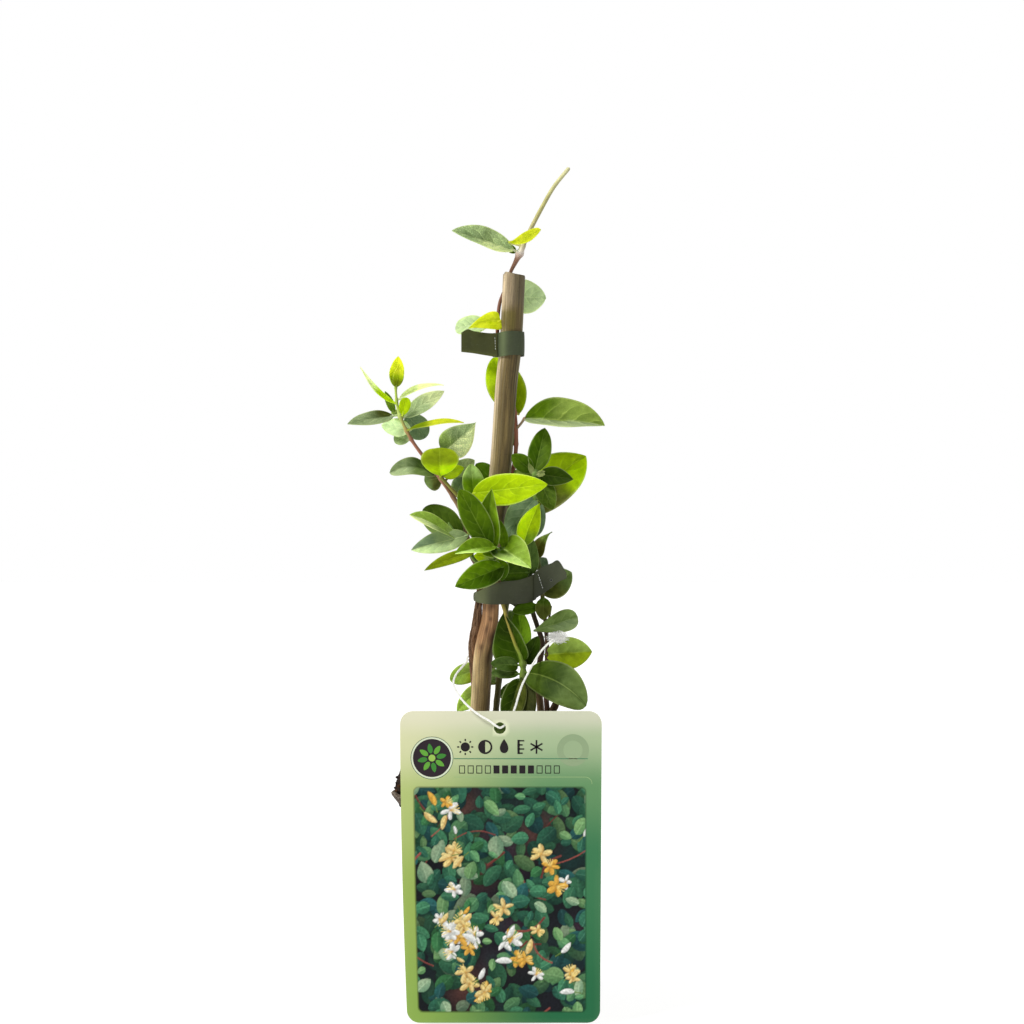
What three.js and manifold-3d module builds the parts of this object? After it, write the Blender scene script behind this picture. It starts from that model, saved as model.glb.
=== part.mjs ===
// A young honeysuckle tied to a bamboo cane in a moulded-fibre pot, with a punched plant
// label hanging from a cord loop. Millimetres, +Z up, +X to the viewer's right, -Y to the
// viewer. The origin is the centre of the pot's base, on the surface it stands on.
import * as THREE from 'three';
import { mergeVertices } from 'three/addons/utils/BufferGeometryUtils.js';
import Module from 'manifold-3d';

const wasm = await Module();
wasm.setup();

// ---- driving dimensions --------------------------------------------------------------
const GAP = 0.3;             // clearance between neighbouring pieces
const POT_BASE_R = 32;       // outer radius at the base
const POT_WALL_R = 41.6;     // outer radius under the flared lip
const POT_LIP_R = 47.5;      // outer radius of the lip
const POT_WALL_TOP = 89.5;   // height where the flare starts
const POT_LIP_TOP = 98.6;    // height of the lip
const POT_WALL = 1.8;        // wall thickness
const POT_FLOOR = 2.2;       // floor thickness
const DRAIN_R = 3.6;         // drain hole radius
const DRAIN_RING_R = 20;     // ring that the drain holes lie on
const DRAIN_COUNT = 5;
const SOIL_TOP = 113;        // crown of the mounded soil
const SOIL_LUMP = 1.1;       // height of the lumps of soil
const BLADE = 0.8;           // thickness of a leaf blade
const TAPE = 0.8;            // thickness of the tie tape
const CARD = {               // edges at its top, and how far each side draws in at its foot
  left: -42.0, right: 45.9, taper: 3.2, slant: 0.8,
  bottom: 1.6, top: 137.3, corner: 5.6, back: -47.9, thick: 0.8,
};
const CARD_HOLE = { x: 1.5, z: 129.9, r: 2.6 };
const CORD_R = 0.5;          // cord radius
const KNOT = { x: 27.6, y: -8.4, z: 167.6, r: 2.1 };
const STEM_SIDES = 6;
const CANE_SIDES = 14;

// ---- centre lines: each point is x, y, z, radius -------------------------------------
const CANE_PATH = [
  [-14, 0, 22, 4.3], [-10.7, 0, 84, 4.3], [-7.35, 0, 140, 4.35], [-6.3, 0, 158, 4.3],
  [-4.8, 0, 166.5, 4.4], [-3.2, 0, 175.5, 3.85], [-2.6, 0, 186, 3.8], [-1.4, 0, 204, 4.2],
  [-0.5, 0, 222, 4.6], [2.1, 0, 250, 4.85], [4.1, 0, 280, 4.9], [6.2, 0, 300, 5], [7.7, 0, 331, 5],
];

const STEMS = {
  woody_trunk: [
    [
      [-6, 7.6, 84, 2.4], [-7.4, 7.2, 120, 2.3], [-9.4, 6.2, 146, 2.1], [-10.3, 5.4, 157, 2.1],
      [-10.6, 3.8, 165.5, 2], [-9.2, 1.2, 174, 1.8], [-8.15, 0.6, 183.5, 1.45], [-7, 3.4, 191, 1.5],
      [-2.6, 7.4, 199, 1.7],
    ],
  ],
  leader_shoot: [
    [
      [-2.3, 7.5, 199.5, 1.2], [1.3, 8.2, 215, 1], [5, 6.8, 232, 0.95], [8.1, 3, 248, 0.95],
      [8.6, 2.8, 261, 0.9], [7.2, 6.4, 274, 0.85], [4, 7.8, 288, 0.85], [0.6, 5, 299, 0.85],
      [0.3, 3, 309, 0.85], [1.4, 5.6, 319, 0.8], [4.6, 6.8, 326, 0.8], [6, 6, 332, 0.8],
      [8.2, 4.4, 336.5, 1], [10.2, 3, 340.5, 1.45], [12.2, 1.4, 345, 1.05], [15, 0, 351, 0.98],
      [20, -1, 360.5, 0.95], [25.5, -2, 370, 0.92], [32, -3, 378, 0.9],
    ],
    [
      [8.6, 2.8, 261.5, 0.7], [10.6, 1.6, 263.6, 0.6], [12.4, 0.6, 266.2, 0.6],
    ],
  ],
  left_shoot: [
    [
      [-6.35, 4.7, 196, 1.05], [-8.4, 1.6, 199.4, 1.1], [-10.8, -2.8, 203, 1.1],
      [-12.4, -5, 208, 1.05], [-14, -6, 216, 1], [-16.8, -6.5, 225.6, 0.95], [-25, -7, 238.8, 0.9],
      [-33, -7.5, 249, 0.8], [-38.4, -7.5, 256.6, 0.75], [-42.2, -7.5, 264, 0.65],
      [-44.5, -7.5, 271, 0.6], [-45.2, -7.5, 277, 0.55], [-45.3, -7.5, 281, 0.5],
    ],
    [
      [-14.2, -6.6, 222.4, 0.7], [-16.6, -8.4, 229.6, 0.75], [-20.4, -9.2, 234.4, 0.75],
      [-25, -8.2, 239.6, 0.7],
    ],
    [
      [-13.4, -5.8, 212.6, 0.8], [-10.8, -8, 222, 0.8], [-10.6, -10.4, 231, 0.75],
    ],
  ],
  front_vine: [
    [
      [13, -3, 92, 1.5], [12, -6, 110, 1.4], [11.2, -8.5, 135, 1.3], [11.8, -9.5, 150, 1.2],
      [11.2, -9.8, 158.5, 1.1], [8.2, -9, 165, 0.85], [5, -7.4, 174.5, 0.8], [2.4, -6, 183, 0.8],
      [-0.6, -6, 189.5, 0.9], [-3.2, -7, 194, 0.95], [-8, -8.6, 200.4, 0.95],
      [-12.2, -9.2, 205.6, 0.85], [-15, -9.5, 210, 0.75], [-18.5, -9.4, 214.5, 0.6],
      [-21.5, -9.4, 219, 0.5],
    ],
    [
      [-1.6, -6.3, 191.4, 0.8], [-0.8, -9, 197, 0.8], [-1.5, -12, 203.5, 0.75], [1, -14, 206, 0.65],
      [3.6, -15.2, 208, 0.6],
    ],
  ],
  right_vine: [
    [
      [22, 3, 84, 1.8], [20.4, 1.5, 120, 1.7], [19.4, 0.4, 138, 1.6], [17.8, 0.2, 147, 1.6],
      [19.4, 1.2, 157, 1.3], [20.4, 1.4, 165, 1.2], [18, 2, 173, 1.1], [15.6, 3, 181, 1.1],
      [14.6, 3.4, 192, 1.1], [15, 2.6, 205, 1], [16.4, 1, 220, 0.9], [17.4, -2.6, 233, 0.8],
      [17.3, -6.4, 241, 0.7],
    ],
    [
      [14.9, 2.8, 202, 0.7], [13.6, -2.4, 205.4, 0.7], [11.8, -7.6, 208.8, 0.65],
    ],
  ],
  side_vine: [
    [
      [26.5, -2.5, 84, 1.4], [24.4, -3, 118, 1.3], [22.3, -3.2, 138, 1.2], [21.6, -3.4, 150, 1.1],
      [22.6, -3.4, 160, 1], [22, -3, 172, 0.9], [20.6, -2.2, 184, 0.85], [20, 0.4, 194, 0.8],
      [18.6, 3.6, 203, 0.7],
    ],
    [
      [22.2, -3.1, 169, 0.5], [23.2, -3.6, 175, 0.5], [24.3, -4, 181.5, 0.45],
    ],
  ],
  back_vine: [
    [
      [-3, 17, 84, 1.5], [-1.6, 14.6, 120, 1.4], [1, 13.4, 150, 1.3], [4, 13.2, 180, 1.2],
      [6, 13.6, 205, 1.1], [5, 14.4, 225, 0.95], [2, 15, 240, 0.8], [0.6, 15.4, 250, 0.6],
    ],
  ],
};

const LEAVES = {
  leader_shoot: [
    [12.4, 0.5, 266.2, 48, -12, 263.2, 21, -40, 33, 0.5, 0, 0, 0.75],
    [9.8, 7.8, 268.2, -2, 22, 294.8, 17, 0, 4, 1, 0, 0, 0.7],
    [1.7, -1.7, 309.9, -12.6, -8.6, 306.2, 8.6, 0, 4, 0, -1.2, 0, 1, 0.16],
    [-3, 2.4, 308.6, -19, 8, 307.4, 9.6, 22, 8, 0.6, 0, 0, 0.45],
    [3.6, 9, 321.8, 22.4, 16, 321.4, 15.6, 0, 4, 0, 0, 0, 0.75],
    [7.4, 2, 342, -19.6, -14, 349.8, 12.4, 32, 28, 0, 0, 0, 0.8, 0.7],
    [5.4, -1, 345.2, 19.4, -10, 350.4, 5.8, -24, 20, 0.5, -1.7, 0, 0.6, 1.1],
    [8.8, 4.8, 341.2, 2.6, 4.6, 345, 3.8, 0, 10, 0, 0, 0, 0.8],
    [8.2, 4.4, 254.6, 3, 29, 258.4, 8.6, 0, 12, 1, 0, 0, 0.8],
  ],
  left_shoot: [
    [-45.3, -7.4, 280, -44.2, -6.6, 293.8, 7, 0, 18, 0, 0, 0, 0.8],
    [-45.3, -8, 279.8, -43.6, -10, 290, 5.4, 20, 22, 0.6, 0, 0, 0.8],
    [-45.6, -8, 272.6, -60.4, -17, 288.6, 3, 34, 18, 0, 2.4, 0, 0.9],
    [-43.8, -7, 274.6, -24, 4, 281.6, 3, -30, 16, 0, 2.6, 0, 0.9],
    [-42.2, -8.6, 267.4, -40.4, -9.6, 275.2, 5.4, 0, 10, 0, 0, 0, 0.45],
    [-46, -6, 268.4, -50.2, -5, 278.2, 3.8, 0, 15, 0, 0, 0, 0.8],
    [-46.4, -8, 267, -66.2, -19, 263.4, 7.6, 30, 14, 0.4, 0, 0, 0.8],
    [-38.6, -5.6, 260.8, -52.4, 4, 263.4, 8.2, 5, 4, 0, 0, 0, 0.8],
    [-41.4, -6.4, 266.6, -23.8, 0, 278.6, 8.2, -20, 14, 0.5, 0, 0, 0.8],
    [-40.6, -3, 268, -32.2, 8, 257.4, 11, 0, 8, 0, 0, 0, 0.6],
    [-39.3, -9.4, 260.8, -14.8, -18, 264.2, 5.6, -60, 20, 1, 0, 0, 0.8],
    [-39.4, -4.4, 256.2, -46.8, 5, 258, 6.2, 0, 8, 0, 0, 0, 0.6],
    [-25.2, -9.2, 240, -25.4, -20, 252.4, 17.4, 0, 4, 2, 0, 0, 0.36, 1],
    [-28, -7.8, 240.2, -47.6, -16, 241.6, 9, 28, 12, 2, -2.6, 0, 0.5],
    [-24.6, -6.2, 239.4, -33, 3, 238, 10.5, 0, 6, 0, 0, 0, 0.8],
    [-24, -5.4, 250.6, -9.4, 4, 264.6, 15, 0, 8, 0, -0.4, 0, 1.2, 0.5],
    [-24.4, -7.2, 240.2, -14.8, -6.6, 244, 6.6, -10, 8, 0, 0, 0, 0.8],
    [-20.6, -3, 240.6, -10, 8, 247.6, 7.6, 0, 6, 0, 0, 0, 0.8],
    [-18.6, -4.6, 231, -14.4, 5, 241.4, 8, 0, 6, 0, 0, 0, 0.8],
    [-10.2, -9.2, 230.6, -11.6, -8.4, 245.6, 10.5, 12, 12, 0, 0, 0, 0.8],
    [-10.8, -12, 232.2, 22.2, -26, 236.2, 14.4, -4, 6, 0.8, 0, 0, 0.8],
    [-13.2, -3.8, 212.4, -25, -2.4, 221.4, 9.6, 0, 8, 0, 0, 0, 0.8],
    [-27.4, -6.4, 242.4, -24, 15, 246.6, 10.4, 0, 12, 1, 0, 0, 0.8],
    [-43.4, -6.8, 267.4, -45.5, 10, 270.4, 6, 0, 12, 1, 0, 0, 0.8],
  ],
  front_vine: [
    [-15, -10.4, 210.2, -38.2, -23, 223, 8.2, 36, 30, 0.6, -0.8, 0, 0.7, 1.3],
    [-13, -12.4, 213.6, -38, -17, 207.2, 10.2, 12, 8, 0.4, 0, 0, 0.8],
    [-15.4, -8.4, 213.6, -33.4, -2, 225.4, 14, 0, 6, 0, 0, 0, 0.6],
    [-10.2, -10, 206.2, -31.8, -24, 198.4, 5.8, 18, 12, 1, -0.4, 0, 0.8],
    [-0.9, -18, 208.4, -18.2, -30, 206, 10.4, 40, 30, 0.8, 0, 0, 0.8],
    [3, -12.6, 199.8, -18.2, -26, 191.2, 12.4, 8, 10, 0.5, 0, 0, 0.8],
    [0.2, -12.4, 202.6, 2.4, -12.8, 193.4, 9, 0, 6, 0, 0, 0, 0.8],
    [-2.4, -12.6, 203.4, -10.2, -15.5, 204.6, 5.6, 10, 8, 0, 0, 0, 0.8],
    [0.2, -14.6, 206.4, -6.2, -18.2, 205.4, 4.6, 10, 10, 0, 0, 0, 0.8],
    [3.8, -15.8, 208.4, 1.4, -20, 220.2, 5, 0, 14, 0, 0, 0, 0.8],
    [1.8, -14.4, 208.4, 15, -30, 199.6, 17.6, -28, 28, 0, 0, 0, 0.85, 0.3],
    [-1.6, -14.2, 207.6, -2.4, -25, 233.8, 11.6, -18, 22, 0, 1.4, 0, 0.9],
    [-3, -16.6, 208.4, -16.2, -31, 233.6, 12.8, 8, 14, 0.5, 0, 0, 0.6],
    [10.4, -7.6, 156.6, 2.6, -6.4, 178.4, 20.6, -30, 30, 0, 0, 0, 0.8, 0.24],
    [9.4, -7.6, 155.4, -2.6, -12, 156.4, 7.4, 24, 8, 0, 0, 0, 0.6, 0.4],
    [11.6, -4.4, 159.4, 9.6, 0.8, 180.4, 9.4, 6, 10, 0, 0, 0, 0.7],
    [9.8, -9.4, 151.6, -2.6, -7.4, 152, 5.2, 14, 8, 0.4, 0, 0, 0.7],
    [10.4, -11.8, 149.6, 3.8, -25, 130, 11.4, -8, 10, 0, 0, 0, 0.7],
    [12.8, -10.8, 149.2, 14.4, -21, 130.6, 8.6, 8, 8, 0, 0, 0, 0.7],
    [13.6, -12.2, 152.2, 39.4, -26, 138.4, 18, -4, 6, 1.2, 3, 0, 0.5, 0.44],
    [11.2, -10, 126.5, -11, -25, 126.5, 14, 4, 8, 0.6, 0, 0, 0.6],
    [12.6, -5.6, 156, 18.5, -7, 168.4, 7.8, 0, 8, 0, 0, 0, 0.7, 0.4],
  ],
  right_vine: [
    [17, -6.8, 242, 21.6, 1, 262, 10.8, 5, 12, 0.4, 0, 0, 0.8],
    [15.8, -6.6, 242.4, 6.6, -5, 249.8, 8, 0, 8, 0, 0, 0, 0.8],
    [19, -7.6, 240.8, 33.6, -20, 238.6, 8.8, -6, 8, 0.5, 0, 0, 0.8],
    [18.6, -7.4, 239.4, 25, -16, 225.2, 9.6, 0, 12, 0, 0, 0, 0.7],
    [16.4, -7.4, 240.6, 14.2, -9, 245.8, 2.6, 0, 20, 0, 0, 0, 0.8],
    [17.6, -8, 240.6, 22.2, -10.4, 241.8, 3, 0, 20, 0, 0, 0, 0.8],
    [14.6, 2.6, 221.8, 40.4, 12, 249.6, 22, 0, 5, 1, 3.2, 0, 0.82, 0.9],
    [15.4, -2, 240, 7.4, 0.6, 242.4, 5.2, 0, 6, 0, 0, 0, 0.8],
    [17.4, -2, 229.6, 4.4, -12.2, 212, 13.4, 0, 6, 0, -0.8, 0, 0.8],
    [16.4, -0.6, 212.6, 20.4, -2.4, 227.4, 7, 10, 8, 0, 0, 0, 0.8],
    [14.6, 0.6, 195.8, 15.4, -9, 212.4, 8, 10, 8, 0, 0, 0, 0.7, 0.4],
    [11.8, -8.4, 208.8, 18.9, -20, 227.6, 10, 0, 8, 0.5, 0.8, 0, 1, 0.8],
    [14.2, -1.8, 196.8, 1.8, -4.4, 196.4, 10.4, 10, 6, 0, 0, 0, 0.6],
    [21, 3, 123, 42, 14, 120, 13, -45, 12, 1, 0, 0, 0.6],
  ],
  side_vine: [
    [21.6, -4, 160, 42.6, -6, 161.4, 14.8, -4, 6, 0.5, 0, 0, 0.8, 0.8],
    [16.6, -4.6, 170.8, 36.2, -7, 177, 10, -5, 6, 0.5, 0, 0, 0.42, 1.1],
    [20, 1.2, 187.4, 34, 12, 196.8, 13.4, 0, 6, 0, 0, 0, 0.8],
    [18.8, -3, 181.4, 7, -3.4, 179.6, 6.4, 28, 8, 0, 0, 0, 0.6],
    [21, -4.2, 185.6, 20.6, -6.6, 175.6, 7.4, 0, 8, 0, 0, 0, 0.7],
    [17.6, 5, 203.4, 25, 7, 215, 7, 10, 26, 0, 2, 0, 1.6],
    [18.2, 5.2, 198.2, 22.4, 10.4, 203.2, 6.8, 0, 6, 0, 0, 0, 0.8, 0.5],
    [23.8, -4.2, 133.4, 27.2, -5.4, 141, 4.6, 30, 30, 0, 0, 0, 0.8],
    [24.6, -4.4, 121, 40, -26, 118, 12, -45, 12, 1, 0, 0, 0.7],
  ],
  back_vine: [
    [-6, 13.8, 153.6, -21.6, 17, 147.6, 9.6, 10, 8, 0, 0, 0, 0.6],
    [-6, 12.4, 145.6, -18.4, 17, 133.4, 8.6, 8, 8, 0, 0, 0, 0.8],
    [-2.6, 12.4, 239, -9.8, 17, 246, 8.6, 0, 8, 0, 0, 0, 0.8],
    [5.4, 15.4, 200, 9, 40, 211, 14, 10, 14, 2, 0, 0, 0.7],
    [4.4, 15.6, 214, -14.5, 30, 217, 11.5, 35, 10, 1.4, 0, 0, 0.8],
    [5.4, 15.8, 220, 19.5, 33, 227, 12.5, -35, 12, 1.6, 0, 0, 0.75],
    [1.8, 16.4, 239, 2, 33, 248.5, 9, 12, 16, 1, 0, 0, 0.8],
    [3.4, 15.6, 230.6, 9, 37, 224, 13, -10, 8, 2.4, 0, 0, 0.7],
    [4.6, 14.4, 184, 17, 31, 182, 10.5, -30, 12, 0.6, 0, 0, 0.7],
    [4.4, 14.6, 190, -9, 33, 195, 10.5, 25, 10, 1.8, 0, 0, 0.8],
    [1.2, 14.6, 148.6, -5, 36, 149, 10.5, 10, 12, 2, 0, 0, 0.6],
    [1.2, 14.8, 140, 15, 35, 141, 11.5, -28, 8, 1.2, 0, 0, 0.7],
    [2.6, 14.6, 170, 11, 33, 176, 12, -5, 14, 0.8, 0, 0, 0.8],
    [-2.2, 15.4, 122, -21, 33, 125, 13.5, 30, 12, 2, 0, 0, 0.7],
    [-1.2, 15.8, 130, 8, 40, 122, 12.5, -15, 12, 1.6, 0, 0, 0.7],
  ],
};

const LOWER_LOOP = [
  [-10.4, 1.6, 184.2, 187.4], [-10.2, 5.4, 184.6, 187.6], [-8.4, 8.6, 184.6, 188.5],
  [-5, 9.9, 184.6, 190], [1, 9.2, 184.6, 191.5], [8, 7.6, 184.6, 193], [14.2, 6.4, 184.8, 194.5],
  [16.9, 4.6, 184.9, 195.6], [17.6, 1.6, 185, 196.2], [16.9, -1.6, 184.4, 196.2],
  [13.4, -4.4, 183.2, 194.6], [9, -6.4, 182.8, 193.4], [4, -8, 182.7, 193], [0, -8.4, 182.6, 192.2],
  [-4, -7.6, 182.7, 190.6], [-7.6, -5.2, 183.2, 188.8], [-9.7, -2.2, 183.8, 187.8],
];
const LOWER_TAIL = [
  [16.6, -2.4, 184.6, 196.4], [20.4, -3.6, 187.2, 199.4], [24.4, -4.6, 190, 201],
  [27.6, -5, 192.6, 202.2], [31.2, -5.2, 194.2, 196.6],
];
const UPPER_LOOP = [
  [0.1, -2.6, 293.6, 304.4], [-1.3, 1, 293.8, 304.6], [-1.9, 4.6, 294, 304.6], [-0.6, 8, 294, 304.6],
  [3.6, 9, 294, 304.6], [8.8, 6.8, 294, 304.6], [11.6, 2.7, 294, 304.8], [12.1, -1, 294.2, 305],
  [10.5, -4.5, 294.4, 305], [7, -6.1, 294.4, 305.2], [3.4, -5.4, 294, 305],
];
const UPPER_TAIL = [
  [0.2, -3.4, 293.5, 304.2], [-5, -3.9, 294.3, 304.4], [-10.5, -4.3, 295.2, 305.2],
  [-13.2, -4.5, 295.5, 306], [-16, -4.7, 295.8, 304.4],
];
const CORD_PATH = [
  [26.48, -9.2, 167.55], [23.88, -10.8, 166.02], [19.88, -13.8, 162.17], [16.49, -17.5, 157.19],
  [13.7, -21.5, 152.24], [11.12, -26, 147.25], [9.34, -32, 142.18], [8.16, -38, 138.42],
  [6.41, -43.4, 134.66], [4.08, -46.2, 131.64], [1.91, -48.3, 130.12], [0.23, -50.2, 130.73],
  [-3.25, -50.4, 133.26], [-7.12, -50.4, 135.48], [-11, -49.4, 138.32], [-14.75, -44, 141.59],
  [-17.6, -36, 145.14], [-19.13, -27, 148.19], [-18.3, -18, 151.48], [-15.48, -8, 154.77],
  [-13.39, -1, 157.04], [-13.67, 5.5, 158.36], [-10.72, 10.6, 159.14], [-4.11, 15.5, 160.85],
  [3.97, 18, 162.67], [12.05, 15.5, 164.39], [19.07, 9, 166.66], [24.02, 2, 168.53],
  [26.76, -3.2, 169.12], [27.31, -6.6, 168.55],
];
// ---- colours: base colour, roughness -------------------------------------------------
const LOOKS = {
  pot: [0x4a423b, 0.95], soil: [0x1f1712, 1.0], cane: [0xb8a27c, 0.75],
  woody_trunk: [0x4d3426, 0.95], leader_shoot: [0x86b02a, 0.5], left_shoot: [0x7fa63c, 0.5],
  front_vine: [0x5c9a1c, 0.5], right_vine: [0x3f701e, 0.5], side_vine: [0x64801f, 0.55],
  back_vine: [0x6d9430, 0.55], upper_tie: [0x4a5240, 0.4], lower_tie: [0x565a4e, 0.4],
  upper_staple: [0xc9ccc4, 0.35], lower_staple: [0xd5d8d0, 0.35],
  label_card: [0xb9cf7d, 0.35], label_cord: [0xf2f2ee, 0.6], label_knot: [0xe9eae6, 0.7],
};

// ---- geometry helpers ----------------------------------------------------------------
const V = (x, y, z) => new THREE.Vector3(x, y, z);

// Joins rings of the same number of points into one closed body. Sides listed in `other`
// take the other diagonal, so that both faces of a blade are split alike.
function loft(rings, { closed = false, other = [], fan = 0 } = {}) {
  const k = rings[0].length;
  const n = rings.length;
  const index = [];
  for (let i = 0; i < (closed ? n : n - 1); i++) {
    for (let j = 0; j < k; j++) {
      const a = i * k + j, b = i * k + (j + 1) % k;
      const c = ((i + 1) % n) * k + j, d = ((i + 1) % n) * k + (j + 1) % k;
      if (other.includes(j)) index.push(a, b, c, b, d, c);
      else index.push(a, b, d, a, d, c);
    }
  }
  if (!closed) {
    const end = (n - 1) * k;
    for (let j = 1; j < k - 1; j++) {
      const p = (fan + j) % k, q = (fan + j + 1) % k;
      index.push(fan, q, p, end + fan, end + p, end + q);
    }
  }
  const geometry = new THREE.BufferGeometry();
  geometry.setAttribute('position', new THREE.Float32BufferAttribute(
    rings.flat().flatMap((p) => [p.x, p.y, p.z]), 3));
  geometry.setIndex(index);
  return geometry;
}

function solid(geometry) {
  const g = geometry.clone();
  for (const name of Object.keys(g.attributes)) if (name !== 'position') g.deleteAttribute(name);
  const merged = mergeVertices(g, 1e-4);
  const pos = merged.attributes.position.array;
  const tri = merged.index.array;
  const make = (t) => new wasm.Manifold(new wasm.Mesh({
    numProp: 3, vertProperties: new Float32Array(pos), triVerts: new Uint32Array(t) }));
  const body = make(tri);
  if (body.volume() > 0) return body;
  const turned = new Uint32Array(tri.length);
  for (let i = 0; i < tri.length; i += 3) turned.set([tri[i], tri[i + 2], tri[i + 1]], i);
  return make(turned);
}

function geometryOf(body) {
  const mesh = body.getMesh();
  const geometry = new THREE.BufferGeometry();
  const verts = new Float32Array(mesh.numVert * 3);
  for (let i = 0; i < mesh.numVert; i++) {
    for (let c = 0; c < 3; c++) verts[3 * i + c] = mesh.vertProperties[i * mesh.numProp + c];
  }
  geometry.setAttribute('position', new THREE.BufferAttribute(verts, 3));
  geometry.setIndex(new THREE.BufferAttribute(new Uint32Array(mesh.triVerts), 1));
  return geometry;
}

// Uniform Catmull-Rom through rows of numbers, its ends held at the end rows.
function spline(rows, per) {
  const out = [];
  for (let i = 0; i < rows.length - 1; i++) {
    const p = [rows[Math.max(i - 1, 0)], rows[i], rows[i + 1], rows[Math.min(i + 2, rows.length - 1)]];
    for (let s = 0; s < per; s++) {
      const t = s / per;
      out.push(p[1].map((_, c) => 0.5 * (2 * p[1][c] + (p[2][c] - p[0][c]) * t
        + (2 * p[0][c] - 5 * p[1][c] + 4 * p[2][c] - p[3][c]) * t * t
        + (3 * p[1][c] - p[0][c] - 3 * p[2][c] + p[3][c]) * t * t * t)));
    }
  }
  out.push([...rows[rows.length - 1]]);
  return out;
}

// A round tapering rod along a centre line.
function rod(rows, sides, per, extra = 0) {
  const points = spline(rows, per);
  const rings = points.map((p, i) => {
    const a = points[Math.max(i - 1, 0)], b = points[Math.min(i + 1, points.length - 1)];
    const along = V(b[0] - a[0], b[1] - a[1], b[2] - a[2]).normalize();
    const side = along.clone().cross(V(0.05, 1, 0.1)).normalize();
    const front = side.clone().cross(along);
    return Array.from({ length: sides }, (_, j) => {
      const angle = 2 * Math.PI * j / sides;
      return V(p[0], p[1], p[2]).addScaledVector(side, (p[3] + extra) * Math.cos(angle))
        .addScaledVector(front, (p[3] + extra) * Math.sin(angle));
    });
  });
  return solid(loft(rings));
}

// ---- leaves --------------------------------------------------------------------------
const SHAPE_BASE = 0.62;     // how fast a blade widens from its base
const BLADE_STATIONS = [0, 0.17, 0.45, 0.78, 1];
const BASE_HALF = 0.45;      // half width where the blade meets its stalk
const TIP_HALF = 0.25;
const STALK_R = 0.55;

function halfWidth(t, point, root) {
  const s = root / (root + point);
  return t ** root * (1 - t) ** point / (s ** root * (1 - s) ** point);
}

// The blade's side and face directions, turned by `roll` degrees round its length.
function bladeFrame(along, roll) {
  const face = V(0, -1, 0).addScaledVector(along, along.y).normalize();
  const turn = THREE.MathUtils.degToRad(roll);
  const normal = face.clone().multiplyScalar(Math.cos(turn))
    .addScaledVector(along.clone().cross(face), Math.sin(turn));
  return { normal, side: normal.clone().cross(along) };
}

function nearestOnStems(paths, point) {
  let best = null;
  for (const path of paths) {
    for (const p of spline(path, 8)) {
      const at = V(p[0], p[1], p[2]);
      if (!best || at.distanceTo(point) < best.distanceTo(point)) best = at;
    }
  }
  return best;
}

// One leaf: a folded, arched blade on a short stalk that is sunk in its stem. A stalk that
// leaves the stem against the blade's direction is a rod of its own.
function leaf(row, paths) {
  const [bx, by, bz, tx, ty, tz, width, roll, fold, arch, sweep, twist, point, root = SHAPE_BASE] = row;
  const tip = V(tx, ty, tz);
  const foot = nearestOnStems(paths, V(bx, by, bz));
  const stalked = foot.distanceTo(V(bx, by, bz)) > 0.8;
  const base = stalked ? V(bx, by, bz) : foot;
  const along = tip.clone().sub(base).normalize();
  const half = V(0, 0, 0);
  const ring = (mid, side, normal, h, bend) => {
    half.copy(normal).multiplyScalar(BLADE / 2);
    const across = side.clone().multiplyScalar(h * Math.cos(bend));
    const lift = normal.clone().multiplyScalar(h * Math.sin(bend));
    const left = mid.clone().sub(across).add(lift), right = mid.clone().add(across).add(lift);
    return [left.clone().add(half), mid.clone().add(half), right.clone().add(half),
      right.sub(half), mid.clone().sub(half), left.sub(half)];
  };
  const bend = THREE.MathUtils.degToRad(fold);
  const rings = [];
  const stalk = base.clone().sub(foot);
  const straight = stalked && stalk.dot(along) > 0.4 * stalk.length();
  if (straight) {
    const { normal, side } = bladeFrame(along, roll);
    rings.push(ring(foot, side, normal, BASE_HALF, 0));
  }
  for (const t of BLADE_STATIONS) {
    const { normal, side } = bladeFrame(along, roll + twist * t);
    const bow = 4 * t * (1 - t);
    const mid = base.clone().lerp(tip, t).addScaledVector(normal, arch * bow)
      .addScaledVector(side, sweep * bow);
    const edge = t > 0 && t < 1 ? width / 2 * halfWidth(t, point, root) : 0;
    rings.push(ring(mid, side, normal, Math.max(edge, t < 1 ? BASE_HALF : TIP_HALF), bend));
  }
  const blade = solid(loft(rings, { other: [3, 4], fan: 1 }));
  if (!stalked || straight) return blade;
  const neck = base.clone().addScaledVector(along, 0.8);
  return blade.add(rod([[...foot, STALK_R], [...neck, STALK_R]], 4, 1));
}

// A shoot: its stems and all of its leaves as one body.
function shoot(name) {
  const paths = STEMS[name];
  const bodies = paths.map((path) => rod(path, STEM_SIDES, 1));
  for (const row of LEAVES[name] ?? []) bodies.push(leaf(row, paths));
  return wasm.Manifold.union(bodies);
}

// ---- pot and soil --------------------------------------------------------------------
function lathe(profile, segments) {
  const geometry = new THREE.LatheGeometry(profile.map(([r, z]) => new THREE.Vector2(r, z)), segments);
  geometry.rotateX(Math.PI / 2);
  return geometry;
}

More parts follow.
